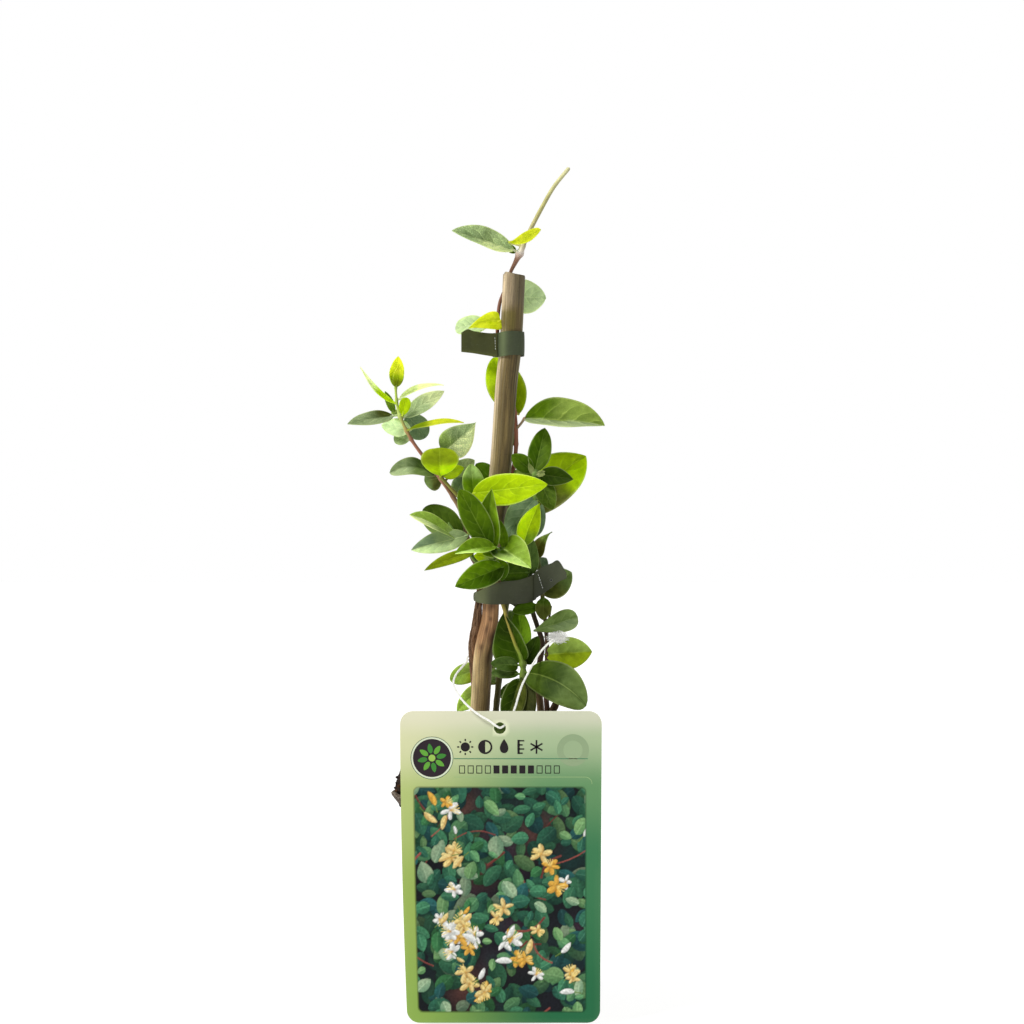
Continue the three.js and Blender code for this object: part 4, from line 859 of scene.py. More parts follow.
def add_leaf(skin, base, tip, measures, looks, paths, stem_tone, rng):
    """A blade, and a stalk to it where it starts away from the stem."""
    foot, gap = nearest(paths, base)
    stalked = gap > 0.8
    if not stalked:
        base = foot
    top, ts, vs = blade_surface(base, tip, measures, rng)
    colour = blade_colours(top, ts, vs, looks, rng.uniform(0, 50))
    face = unit(np.cross(np.gradient(top, axis=1), np.gradient(top, axis=0)))
    toward, _ = blade_frame(unit(top[-1, ACROSS // 2] - base), measures[1])
    if (face[ALONG // 2, ACROSS // 2] @ toward) < 0:
        face = -face
    face[0], face[-1] = face[1], face[-2]
    thick = SHEET * (0.55 + 0.45 * (1 - vs ** 2))[None, :, None]
    rib = 0.22 * np.exp(-(vs * 6) ** 2)[None, :, None] * (1 - ts)[:, None, None]
    under = top - face * (thick + rib)
    ring = np.concatenate([top, under[:, ::-1]], 1)
    tint = np.concatenate([colour, colour[:, ::-1]], 1)
    mark = np.zeros(ring.shape[:2] + (len(MARKS),))
    mark[:, ACROSS:, 0] = 1
    mark[..., 1:] = [float(looks.get(key, usual)) for key, usual in USUAL_LOOK.items()]
    u = np.concatenate([(vs + 1) / 2, (vs[::-1] + 1) / 2, [(vs[0] + 1) / 2]])
    skin.grid(ring, tint, np.stack(np.meshgrid(u, ts), -1), mark, wrap=True, caps=True)
    if stalked:
        line = spline([foot, foot + (base - foot) * 0.45, base, base + unit(tip - base) * 1.6], 5)
        radius = np.linspace(STALK_R * 1.15, STALK_R * 0.72, len(line))
        share = np.linspace(0.25, 0.9, len(line))
        tone = mix(lin(stem_tone(foot[2])), colour[2, ACROSS // 2], share)
        skin.tube(line, radius, 10, tone[:, None, :], slot=1)
    return foot


def tone_by_height(stops):
    """The stem's colour at a height."""
    heights = [s[0] for s in stops]
    colours = np.array([s[1] for s in stops], float)
    return lambda z: np.stack([np.interp(z, heights, colours[:, c]) for c in range(3)], -1)


def shoot(name, seed):
    """A shoot's stems and leaves as one piece."""
    rng = random.Random(seed)
    skin = Skin()
    paths = stem_paths(name)
    stem_tone = tone_by_height(STEM_TONES[name])
    joints = [add_leaf(skin, *row, paths, stem_tone, rng) for row in leaf_rows(name)]
    for k, path in enumerate(paths):
        rows = spline(path, 10)
        line, radius = rows[:, :3], rows[:, 3]
        for joint in joints:
            gap = np.linalg.norm(line - joint, axis=1)
            radius = radius * (1 + 0.22 * np.exp(-(gap / 1.1) ** 2))
        radius = radius * (1 + 0.04 * field(line, 2.5, seed))
        line, radius = round_end(line, radius)
        tone = lin(stem_tone(line[:, 2]))
        if k and name in SIDE_TONES:
            tone = mix(tone, lin(SIDE_TONES[name]), [0.85])
        tone = tone * (1 + 0.18 * field(line, 3.0, seed + 3))[:, None]
        rings = tube_rings(line, radius, 14)
        # painted light and shade: the left side, where the key light falls, is lighter and the right side
        # darker
        left = (line[:, None, 0] - rings[..., 0]) / radius[:, None]
        tone = tone[:, None, :] * (0.75 + 0.75 * smooth(-0.5, 0.95, left))[..., None]
        skin.grid(rings, np.minimum(tone, 0.95), run_uv(line, 14), slot=1, wrap=True, caps=True)
    return stands_for(skin.make(name + "_foliage", [BLADE, STEM]), name)


for seed, name in enumerate(STEM_TONES):
    shoot(name, 20 + seed)

TRUNK_SIDES, TRUNK_STRIPS = 40, 9


def woody_trunk():
    """Dark ridged bark with strips that peel away from it."""
    skin = Skin()
    rng = random.Random(5)
    rows = spline(stem_paths("woody_trunk")[0], 16)
    line, angle = rows[:, :3], circle(TRUNK_SIDES)
    where = xyz(np.cos(angle) * 2.2, np.sin(angle) * 2.2, 0.14 * run_along(line)[:, None])
    ridge = 1 - 2 * abs(field(where, 0.75, 3.0))
    tint = mix(lin((66, 44, 30)), lin((186, 146, 112)), 0.25 + 0.8 * (ridge - 0.3))
    skin.tube(line, rows[:, 3:4] * (0.98 + 0.2 * ridge), TRUNK_SIDES, tint, around=3.0)
    for _ in range(TRUNK_STRIPS):
        lo = rng.randint(8, 70)
        hi = min(len(line) - 3, lo + rng.randint(16, 42))
        turn = rng.uniform(0, 2 * math.pi)
        s = np.linspace(0, 1, hi - lo)
        side = np.array((math.cos(turn), math.sin(turn), 0))
        cross = np.array((-math.sin(turn), math.cos(turn), 0))
        off = rows[lo:hi, 3] * 1.02 + 0.35 * (2 * s - 1) ** 4
        wide = rng.uniform(0.35, 0.8) * np.sqrt(np.clip(4 * s * (1 - s), 0, 1)) + 0.06
        spot = line[lo:hi] + side * off[:, None]
        ring = np.stack([spot + cross * wide[:, None] * reach + side * rise for reach, rise in
                         ((-1, 0), (-0.3, 0.16), (0.3, 0.16), (1, 0), (0, -0.12))], 1)
        skin.grid(ring, lin((168, 126, 92)) * rng.uniform(0.4, 1.4), wrap=True, caps=True)
    return stands_for(skin.make("woody_trunk_bark", [BARK]), "woody_trunk")


woody_trunk()

# ---- cane ----------------------------------------------------------------------------------
CANE_SIDES = 96
CANE_DOME = [(-0.9, 0.99), (-0.35, 0.96), (0.0, 0.9), (0.12, 0.82)]   # rise and share of the radius
# across the cane from 0 at its right to 1 at its left, height, and the size of the scar
KNOT_SCARS = [(0.45, 176.0, 0.12, 1.1), (0.62, 171.2, 0.1, 2.4), (0.3, 168.0, 0.14, 3.4),
              (0.7, 163.0, 0.12, 1.6), (0.4, 182.0, 0.2, 1.6), (0.25, 159.0, 0.12, 4.0)]


def cane_tint(rings, line, left, fibre, broad):
    """Painted light from the left, painted shade to the right: pale below, scarred with wear in the middle,
    greyed by weather at the top.
    """
    z = line[:, 2:3]
    # painted light and shade: each part of the cane is washed lighter towards its left, where the key light
    # falls, and darker to the right
    edge = left + 0.22 * fibre
    upper = washed((99, 84, 48), edge, ((138, 122, 84), 0.5, 0.85))
    upper = mix(upper, lin((116, 110, 74)), 0.7 * (1 - smooth(0.02, 0.16, edge)))
    weathered_and_lit = washed((102, 92, 68), edge, ((172, 154, 126), 0.3, 0.8))
    upper = mix(upper, weathered_and_lit, 0.8 * smooth(313, 320, z))
    # painted highlight down the left edge
    upper = mix(upper, lin((236, 214, 178)), smooth(0.76, 0.98, edge))
    lower = washed((116, 94, 54), edge, ((150, 128, 86), 0.1, 0.6), ((214, 192, 144), 0.62, 0.96))
    worn_and_lit = washed((76, 54, 32), z, ((172, 128, 80), 168, 174))
    worn_and_lit = mix(worn_and_lit, lin((164, 124, 86)), smooth(0.02, 0.4, left + 0.3 * broad))
    tint = mix(lower, worn_and_lit, smooth(156, 170, z + 5 * broad) * (1 - smooth(186, 200, z)))
    tint = mix(tint, upper, smooth(190, 205, z))
    tint = tint * (1 - 0.42 * smooth(0.05, 0.5, fibre))[..., None]
    tint = tint * (1 + 0.4 * smooth(0.2, 0.6, -fibre))[..., None]
    in_front = rings[..., 1] < line[:, 1:2]
    for spot_x, spot_z, wide, tall in KNOT_SCARS:
        near = np.exp(-((left - spot_x) / wide) ** 2 - ((z - spot_z) / tall) ** 2)
        tint = mix(tint, lin((62, 38, 24)), 0.65 * near * in_front)
    # painted shadow of the leaf just above the tie, tinted olive by light coming through it
    painted_leaf_shadow = smooth(304, 307, z) * (1 - smooth(313, 316, z)) * smooth(0.2, 0.45, left)
    return mix(tint, lin((92, 84, 30)), 0.7 * painted_leaf_shadow)


def cane():
    path = spline(CANE_PATH, 24)
    top, top_radius = path[-1, :3], path[-1, 3]
    dome = [top + (0.03 * k, 0, rise) for k, (rise, _) in enumerate(CANE_DOME)]
    line = np.concatenate([path[:-1, :3], dome])
    radius = np.r_[path[:-1, 3], [top_radius * share for _, share in CANE_DOME]][:, None]
    angle = circle(CANE_SIDES)
    where = xyz(4.6 * np.cos(angle), 4.6 * np.sin(angle), 0.02 * line[:, 2:3])
    fibre, broad = field(where, 0.55, 2.0), field(where, 2.6, 6.0)
    rings = tube_rings(line, radius * (1 + 0.012 * fibre + 0.01 * broad), CANE_SIDES)
    left = 0.5 - (rings[..., 0] - line[:, None, 0]) / (2 * radius)
    skin = Skin()
    skin.grid(rings, cane_tint(rings, line, left, fibre, broad), run_uv(line, CANE_SIDES), wrap=True)
    # the cut ends: rings of fibre round a pale pith
    for end, up in ((rings[-1], 1), (rings[0], -1)):
        middle = end.mean(0)
        cut = np.stack([middle + (end - middle) * s + (0, 0, up * 0.12 * (1 - s))
                        for s in np.linspace(1, 0.04, 9)])
        tone = mix(lin((150, 124, 88)), lin((206, 186, 150)), 0.5 + field(cut, 0.5, 1.0))
        skin.grid(cut[:, ::up], tone[:, ::up], wrap=True)
        skin.flat(cut[-1], [range(CANE_SIDES)[::up]], lin((120, 96, 66)))
    return stands_for(skin.make("cane_wood", [CANE_WOOD], 50), "cane")


cane()

# ---- ties ----------------------------------------------------------------------------------
TAPE_THICK, TAIL_EXTRA = 0.42, 0.3   # a tail is both ends of the tape on each other
TAPE_LEVELS = 9                      # points up the tape
TAIL_MARK = (24.3, 193.4)            # x, z of a small hole punched in the lower tail


def band(skin, stations, closed, tone, painted_light):
    """A tape through stations of x, y, lower edge, upper edge, with soft edges.

    The painted light gives a brightness for each point from its x and its level up the tape: painted
    highlights and shade.
    """
    rows = spline(stations, 6, closed)
    flat = xyz(rows[:, 0], rows[:, 1], 0)
    along = unit(np.roll(flat, -1, 0) - np.roll(flat, 1, 0) if closed else np.gradient(flat, axis=0))
    out = xyz(along[:, 1], -along[:, 0], 0)
    half = (TAPE_THICK + (0 if closed else TAIL_EXTRA)) / 2
    levels = np.linspace(0, 1, TAPE_LEVELS)
    front, back = [], []
    for s in levels:
        middle = xyz(rows[:, 0], rows[:, 1], rows[:, 2] * (1 - s) + rows[:, 3] * s)
        swell = half * (0.6 + 0.4 * min(1.0, 5 * s, 5 * (1 - s)))
        ripple = 0.16 * math.sin(math.pi * s) * np.sin(np.arange(len(rows)) * 0.55)
        front.append(middle + out * (ripple + swell)[:, None])
        back.append(middle + out * (ripple - swell)[:, None])
    ring = np.stack(front + back[::-1], 1)
    if closed:
        ring = np.concatenate([ring, ring[:1]], 0)
    tint = lin(tone) * (1 + 0.14 * field(ring, 5.0, 3.0))[..., None]
    tint = tint * painted_light(ring[..., 0], np.r_[levels, levels[::-1]][None, :])[..., None]
    skin.grid(ring, tint, run_uv(ring.mean(1), ring.shape[1]), wrap=True, caps=not closed)
    return ring


def lower_tie():
    def loop_painted_light(x, level):
        # painted light: a highlight on the left end of the loop, and lighter towards the upper edge
        left_end_highlight = smooth(-11, -9.5, x) * (1 - smooth(-8.5, -2, x))
        return (0.9 + 2.3 * left_end_highlight) * (0.9 + 0.25 * level)

    def tail_painted_light(x, level):
        # painted light: lighter towards the upper edge and the right end of the tail
        return 0.9 + 0.15 * level + 0.35 * smooth(22, 30, x)

    skin = Skin()
    band(skin, LOWER_LOOP, True, (61, 65, 42), loop_painted_light)
    tail = band(skin, LOWER_TAIL, False, (58, 62, 44), tail_painted_light).reshape(-1, 3)
    x, z = TAIL_MARK
    y = tail[np.hypot(tail[:, 0] - x, tail[:, 2] - z) < 1.5][:, 1].min() - 0.06
    turn = circle(20)
    # the hole is drawn, not cut: a pale rim, and a dark disc of painted shade in front of the tape
    for lift, r, tone in ((0.0, 0.62, (104, 108, 92)), (0.03, 0.46, (30, 32, 26))):
        rim = xyz(x + r * np.cos(turn), y - lift, z + 1.15 * r * np.sin(turn))
        skin.flat(rim, [range(len(rim))], lin(tone))
    return stands_for(skin.make("lower_tie_tape", [TAPE_SKIN], 50), "lower_tie")


def upper_tie():
    def loop_painted_light(x, level):
        # painted sheen: a bright stripe down the front of the loop, a little lighter to the right
        painted_sheen = np.exp(-((x - 2.6) / 1.7) ** 2)
        return 0.72 + 1.2 * painted_sheen + 0.1 * smooth(7, 12, x)

    def tail_painted_light(x, level):
        # painted light along the lower and upper edges of the tail
        return 0.9 + 0.7 * smooth(0.16, 0.0, level) + 0.2 * smooth(0.85, 1.0, level)

    skin = Skin()
    band(skin, UPPER_LOOP, True, (70, 79, 52), loop_painted_light)
    band(skin, UPPER_TAIL, False, (60, 64, 22), tail_painted_light)
    return stands_for(skin.make("upper_tie_tape", [TAPE_SKIN], 50), "upper_tie")


def staple(name, node, start, end, count, half):
    """A row of short wire stitches, the ends of each bent into the tape."""
    skin = Skin()
    start, end = np.array(start), np.array(end)
    back = np.array((0, 0.5, 0))
    pitch = (end - start) / count
    for k in range(count):
        a = start + pitch * (k + 0.16 + 0.06 * (k % 2))
        b = a + pitch * (0.5 + 0.12 * (k % 3 == 1))
        bend = 0.16 * (b - a)
        skin.tube(spline([a + back, a + bend, b - bend, b + back], 5), half, 8, lin((225, 227, 224)))
    return stands_for(skin.make(name, [WIRE]), node)


lower_tie()
upper_tie()
staple("upper_staple_wire", "upper_staple", (-0.9, -5.1, 302.4), (-0.7, -5.1, 296.6), 5, 0.12)
staple("lower_staple_wire", "lower_staple", (18.4, -4.9, 196.2), (20.6, -5.5, 189.6), 6, 0.17)

# ---- pot and soil --------------------------------------------------------------------------
POT_BASE_R, POT_WALL_R, POT_LIP_R = 32.0, 41.6, 47.5
POT_WALL_TOP, POT_LIP_TOP = 89.5, 98.6
POT_WALL, POT_FLOOR = 1.8, 2.2
POT_SIDES, POT_STEP = 144, 3.0
DRAIN_R, DRAIN_RING_R, DRAIN_COUNT = 3.6, 20.0, 5
SOIL_TOP, SOIL_SIDES, SOIL_ROWS = 113.0, 160, 64
CRUMBS = 760
SIGHT_RIGHT = 46.4           # the lip is pressed in a little here


def pot_shell():
    """Rings of the pot, out along its floor, up its wall and down inside, in short steps."""
    profile = np.array([
        (0.6, 0.0), (POT_BASE_R - 0.8, 0), (POT_BASE_R, 1.2), (POT_WALL_R, POT_WALL_TOP),
        (POT_LIP_R - 0.3, POT_LIP_TOP - 1.6), (POT_LIP_R, POT_LIP_TOP - 0.7), (POT_LIP_R - 0.6, POT_LIP_TOP),
        (POT_LIP_R - POT_WALL, POT_LIP_TOP - 0.2), (POT_WALL_R - POT_WALL + 0.2, POT_WALL_TOP + 0.4),
        (POT_BASE_R - POT_WALL, POT_FLOOR), (0.6, POT_FLOOR)])
    rows = [profile[0]]
    for a, b in zip(profile[:-1], profile[1:]):
        steps = max(1, int(np.linalg.norm(b - a) / POT_STEP))
        rows += [a + (b - a) * (k + 1) / steps for k in range(steps)]
    r, z = np.array(rows).T[..., None]
    angle = circle(POT_SIDES)
    return xyz(r * np.cos(angle), r * np.sin(angle), z)


def pot():
    """Moulded fibre: pressed and slightly uneven, with a flared, rolled lip."""
    rings = pot_shell()
    out = unit(rings * (1, 1, 0))
    flare = smooth(POT_WALL_TOP, POT_LIP_TOP, rings[..., 2])
    dents = 0.22 * field(rings, 6.0, 2.0) + 0.16 * field(rings, 1.6, 8.0)
    lip = 0.35 * flare * field(rings, 9.0, 5.0)
    shell = rings + out * (dents + lip)[..., None]
    shell[..., 2] = np.maximum(shell[..., 2] + 0.5 * flare * field(rings, 8.0, 12.0), 0)
    shell[..., 0] = np.minimum(shell[..., 0], SIGHT_RIGHT)
    skin = Skin()
    skin.grid(shell, lin((90, 78, 68)), wrap=True, caps=True)
    made = skin.make("fibre_pot", [FIBRE])
    cutter = Skin()
    angle = circle(24)
    for turn in circle(DRAIN_COUNT) + 0.3:
        x = DRAIN_RING_R * math.cos(turn) + DRAIN_R * np.cos(angle)
        y = DRAIN_RING_R * math.sin(turn) + DRAIN_R * np.sin(angle)
        cutter.grid(np.stack([xyz(x, y, -3), xyz(x, y, 6)]), (0, 0, 0), wrap=True, caps=True)
    punch = cutter.make("drain_punch", [FIBRE])
    holes = made.modifiers.new("drain", "BOOLEAN")
    holes.operation, holes.solver, holes.object = "DIFFERENCE", "EXACT", punch
    solid = made.evaluated_get(bpy.context.evaluated_depsgraph_get())
    pierced = bpy.data.meshes.new_from_object(solid)
    made.modifiers.clear()
    made.data = pierced
    bpy.data.objects.remove(punch)
    return stands_for(made, "pot")


def soil():
    """Mounded soil with crumbs, bark chips and pale grains."""
    rng = random.Random(3)
    profile = np.array([
        (45.3, 98.9), (POT_LIP_R - 1.4, POT_LIP_TOP + 1.1), (POT_LIP_R - 2.4, POT_LIP_TOP + 4.6),
        (POT_LIP_R - 4.4, POT_LIP_TOP + 9), (38, SOIL_TOP - 2.4), (31, SOIL_TOP - 0.8),
        (23, SOIL_TOP), (15, SOIL_TOP), (8, SOIL_TOP), (0.5, SOIL_TOP)])
    run = run_along(profile)
    at = np.linspace(0, run[-1], SOIL_ROWS)
    r, z = (np.interp(at, run, column)[:, None] for column in profile.T)
    angle = circle(SOIL_SIDES)
    x, y = r * np.cos(angle), r * np.sin(angle)
    lift = smooth(POT_LIP_TOP + 3, POT_LIP_TOP + 9, z)
    lump = np.sin(0.31 * x + 1.7) * np.cos(0.27 * y - 0.6) + 0.7 * np.sin(0.52 * y + 0.4 * x)
    top = xyz(x, y, z + 1.1 * lift * lump)
    rough = 0.5 * field(top, 2.4, 1.0) + 0.35 * field(top, 1.0, 4.0)
    steep = smooth(0, 1, (r - 38) / 8)
    top = top + unit(xyz(x, y, 0)) * (rough * steep)[..., None]
    top[..., 2] += rough * (1 - 0.6 * steep)
    skin = Skin()
    tint = mix(lin((30, 21, 16)), lin((62, 45, 33)), 0.4 + 0.8 * field(top, 3.0, 7.0))
    skin.grid(top, tint, wrap=True)
    skirt = np.stack([xyz(44 * np.cos(angle), 44 * np.sin(angle), 92), top[0]])
    skin.grid(skirt, lin((30, 22, 17)), wrap=True)
    surface = top.reshape(-1, 3)
    lat, lon = np.meshgrid(np.linspace(math.pi - 0.35, 0.35, 4), circle(6), indexing="ij")
    crumb = xyz(np.sin(lat) * np.cos(lon), np.sin(lat) * np.sin(lon), np.cos(lat))
    for k in range(CRUMBS):
        spot = np.minimum(surface[rng.randrange(len(surface))], (SIGHT_RIGHT - 1.6, 99.0, 999.0))
        size = rng.uniform(0.35, 1.25)
        kind = rng.random()
        tone = (38, 26, 19) if kind < 0.62 else (84, 58, 38) if kind < 0.9 else (176, 166, 146)
        ball = crumb * [rng.uniform(lo, hi) * size for lo, hi in ((0.6, 1.8), (0.6, 1.2), (0.5, 0.9))]
        turn = rng.uniform(0, 6.28)
        ball = ball * (1 + 0.25 * field(ball, 0.8, k * 1.7))[..., None]
        c, s = math.cos(turn), math.sin(turn)
        spin = np.array(((c, s, 0), (-s, c, 0), (0, 0, 1)))
        skin.grid(ball @ spin + spot, lin(tone), wrap=True, caps=True)
    return stands_for(skin.make("potting_soil", [SOIL]), "soil")


pot()
soil()

# ---- label ---------------------------------------------------------------------------------
CARD_Y = -48.7               # front face of the card
CARD_THICK = 0.8
CARD_TOP, CARD_BOTTOM = 137.3, 1.6
CARD_LEFT, CARD_RIGHT = -42.0, 45.9          # its edges at the top
CARD_TAPER, CARD_SLANT = 3.2, 0.8            # how far each side draws in at the foot
CARD_CORNER = 5.6
HOLE = (1.5, 129.9, 2.6)     # centre x, z and radius
PANEL = (-36.6, 39.2, 6.0, 104.6)            # picture: left, right, bottom, top
PANEL_CORNER, PICTURE_CELL = 2.6, 0.38
BADGE, GHOST = (-28.1, 116.9), (33.3, 120.3)  # x, z of the badge, and of the ring that shows through
SIGNS_Z, RULE_Z, MONTHS_Z, LINE_Z = 121.7, 116.6, 111.9, 108.6
RULE_LEFT = -18.6
MONTH_PITCH, IN_FLOWER = 3.75, range(4, 9)
INK = (38, 34, 36)
CARD_LIT, CARD_SHEEN = 1.15, 0.003   # how bright the card's face comes out, and its gloss


def fallen(z):
    """How far down the card a height is, from 0 at its top to 1 at its foot."""
    return (CARD_TOP - np.asarray(z, float)) / (CARD_TOP - CARD_BOTTOM)


def card_left(z):
    return CARD_LEFT + CARD_TAPER * np.maximum(fallen(z), 0) ** 1.8


def card_right(z):
    return CARD_RIGHT - CARD_SLANT * fallen(z)


def polar(x, z, r, turn):
    """The point at a distance and an angle from x, z."""
    return x + r * math.cos(turn), z + r * math.sin(turn)


def disc(x, z, r, n=40, start=0.0, end=360.0):
    return [polar(x, z, r, a) for a in np.radians(np.linspace(start, end, n, endpoint=end - start < 360))]


def bar(x0, z0, x1, z1, half):
    d = unit([x1 - x0, z1 - z0])
    ox, oz = -d[1] * half, d[0] * half
    return [(x0 + ox, z0 + oz), (x0 - ox, z0 - oz), (x1 - ox, z1 - oz), (x1 + ox, z1 + oz)]


def petal(x, z, length, width, turn):
    """The outline of a pointed oval."""
    c, s = math.cos(turn), math.sin(turn)
    t = np.linspace(0, 1, 12)
    h = width / 2 * half_width(np.clip(t, 1e-4, 1 - 1e-4), 0.8)
    side, other = ([(x + c * length * a - s * b, z + s * length * a + c * b) for a, b in zip(t, way * h)]
                   for way in (1, -1))
    return side + other[::-1][1:-1]


def card_outline():
    """The card's edge, with rounded corners, as x, z points."""
    r = CARD_CORNER
    pts = []
    for side, z, start in ((1, CARD_BOTTOM + r, -90), (1, CARD_TOP - r, 0),
                           (-1, CARD_TOP - r, 90), (-1, CARD_BOTTOM + r, 180)):
        x = float(card_right(z)) - r if side > 0 else float(card_left(z)) + r
        pts += disc(x, z, r, 9, start, start + 90)
    out = []
    for p, q in zip(pts, pts[1:] + pts[:1]):
        steps = max(1, int(math.dist(p, q) / 2))
        on_left = max(p[0], q[0]) < -30 and steps > 3
        for k in range(steps):
            x, z = p[0] + (q[0] - p[0]) * k / steps, p[1] + (q[1] - p[1]) * k / steps
            out.append((float(card_left(z)) if on_left else x, z))
    return out


def card_ink(x, z):
    """The card's printed ground: warm and pale at the top, green below, darker to the right."""
    across = smooth(-0.08, 0.78, (np.asarray(x) - CARD_LEFT) / (CARD_RIGHT - CARD_LEFT))
    down = np.clip(fallen(z), 0, 1)
    left_side = washed((232, 230, 200), down, ((220, 222, 176), 0.01, 0.1), ((184, 200, 124), 0.1, 0.28),
                       ((160, 184, 94), 0.28, 0.6), ((148, 180, 86), 0.6, 1.0))
    right_side = washed((212, 214, 190), down, ((172, 192, 152), 0.01, 0.09), ((104, 149, 102), 0.08, 0.25),
                        ((65, 124, 84), 0.24, 0.46), ((44, 108, 71), 0.5, 0.95))
    return np.maximum(mix(left_side, right_side, across) - CARD_SHEEN, 0.002) / CARD_LIT


def card():
    """The blank card with its hole, its face already tinted."""
    skin = Skin()
    edge = card_outline()
    ring = disc(*HOLE, 32)
    inside = [(x, z) for z in np.arange(4, 135, 2.0) for x in np.arange(-40, 45, 2.0)
              if card_left(z) + 1.5 < x < card_right(z) - 1.5 and math.dist((x, z), HOLE[:2]) > HOLE[2] + 0.8]
    n, m = len(edge), len(ring)
    edges = [(i, (i + 1) % n) for i in range(n)] + [(n + i, n + (i + 1) % m) for i in range(m)]
    verts, _, faces, *_ = delaunay_2d_cdt([Vector(p) for p in edge + ring + inside], edges, [], 4, 1e-6)
    flat = np.array([(v.x, v.y) for v in verts])
    faces = [f for f in faces if math.dist(flat[list(f)].mean(0), HOLE[:2]) > 0.97 * HOLE[2]]
    ink = card_ink(flat[:, 0], flat[:, 1])
    rims = ((ring, (226, 230, 196), 0.8, 0.7), (edge, (222, 232, 190), 0.02, 0.6))
    for loop, tone, strength, reach in rims:
        near = np.array([min(math.dist(p, q) for q in loop) for p in flat])
        ink = mix(ink, lin(tone), strength * (1 - smooth(0, reach, near)))
    for y, tint, turn in ((CARD_Y, ink, 1), (CARD_Y + CARD_THICK, lin((186, 196, 166)), -1)):
        skin.flat(xyz(flat[:, 0], y, flat[:, 1]), [list(f)[::turn] for f in faces], tint)
    for loop, way in ((edge, 1), (ring, -1)):
        walls = np.array([[(x, CARD_Y, z), (x, CARD_Y + CARD_THICK, z)] for x, z in loop + loop[:1]])[::way]
        skin.grid(walls, lin((216, 222, 196)))
    return skin


def ink_layer(level):
    return CARD_Y - 0.03 * level


class Picture:
    """A printed picture: a fine grid of points whose colours are painted shape by shape."""

    def __init__(self, left, right, low, high, cell):
        self.cell = cell
        self.x = np.linspace(left, right, int((right - left) / cell) + 1)
        self.z = np.linspace(low, high, int((high - low) / cell) + 1)
        self.ink = np.zeros((len(self.z), len(self.x), 3))

    def window(self, x, z, reach):
        """The rows and columns near a point, and how far each is from it."""
        c = slice(*np.searchsorted(self.x, (x - reach, x + reach)))
        r = slice(*np.searchsorted(self.z, (z - reach, z + reach)))
        return (r, c), self.x[c][None, :] - x, self.z[r][:, None] - z

    def paint(self, part, tone, strength):
        self.ink[part] = mix(self.ink[part], tone, strength)

    def wash(self, x, z, reach, tone, strength):
        part, dx, dz = self.window(x, z, 2 * reach)
        self.paint(part, tone, strength * np.exp(-(dx * dx + dz * dz) / (reach * reach)))

    def blade(self, x, z, length, width, turn, light, dark, point, rib, curl):
        """A leaf or petal, lit along one half, with a midrib and a soft shadow round it."""
        part, dx, dz = self.window(x, z, length * 1.1)
        a = (dx * math.cos(turn) + dz * math.sin(turn)) / length
        b = dz * math.cos(turn) - dx * math.sin(turn) - curl * length * a * a
        h = width / 2 * half_width(np.clip(a, 1e-4, 1 - 1e-4), point)
        edge = np.minimum(h - abs(b), np.minimum(a, 1 - a) * length)
        shadow = np.exp(-np.maximum(-edge - 0.1, 0) / (0.09 * width)) * (edge < 0)
        self.ink[part] *= (1 - 0.3 * shadow)[..., None]
        lit = 0.5 + 0.5 * np.tanh(3 * b / width) * (1 if math.cos(turn) > 0 else -1)
        tone = mix(dark, light, 0.2 + 0.65 * lit + 0.25 * (a - 0.4))
        line = np.exp(-(b / (0.3 * self.cell + 0.02 * width)) ** 2) * smooth(0.95, 0.5, a)
        tone = mix(tone, np.minimum(light * 1.7 + 0.03, 1), rib * line)
        self.paint(part, tone, smooth(-0.5 * self.cell, 0.6 * self.cell, edge))

    def twig(self, points, half, tone):
        for x, z in spline(points, 14):
            part, dx, dz = self.window(x, z, 4 * half + self.cell)
            near = smooth(half + 0.6 * self.cell, half - 0.3 * self.cell, np.sqrt(dx * dx + dz * dz))
            self.paint(part, tone * (1 + 0.3 * dz[..., None] / (half + 0.2)), near)


PICTURE_WARMTH = (1.55, 1.14, 1.35)     # lifts the greens from emerald to leaf green
SHADES = [((44, 32, 42), 16), ((16, 44, 38), 22), ((10, 13, 17), 18), ((70, 50, 40), 5)]
GREENS = [((58, 128, 84), (20, 66, 48)), ((44, 108, 76), (14, 52, 42)), ((86, 150, 92), (34, 92, 60)),
          ((36, 96, 86), (12, 48, 46)), ((104, 158, 96), (48, 104, 58)), ((50, 116, 64), (18, 60, 34)),
          ((132, 172, 128), (62, 116, 82))]
LAYER_LEAVES = (150, 150, 120, 70)      # leaves in each layer, from the back
BLOSSOMS, CLUMPS = 58, 9


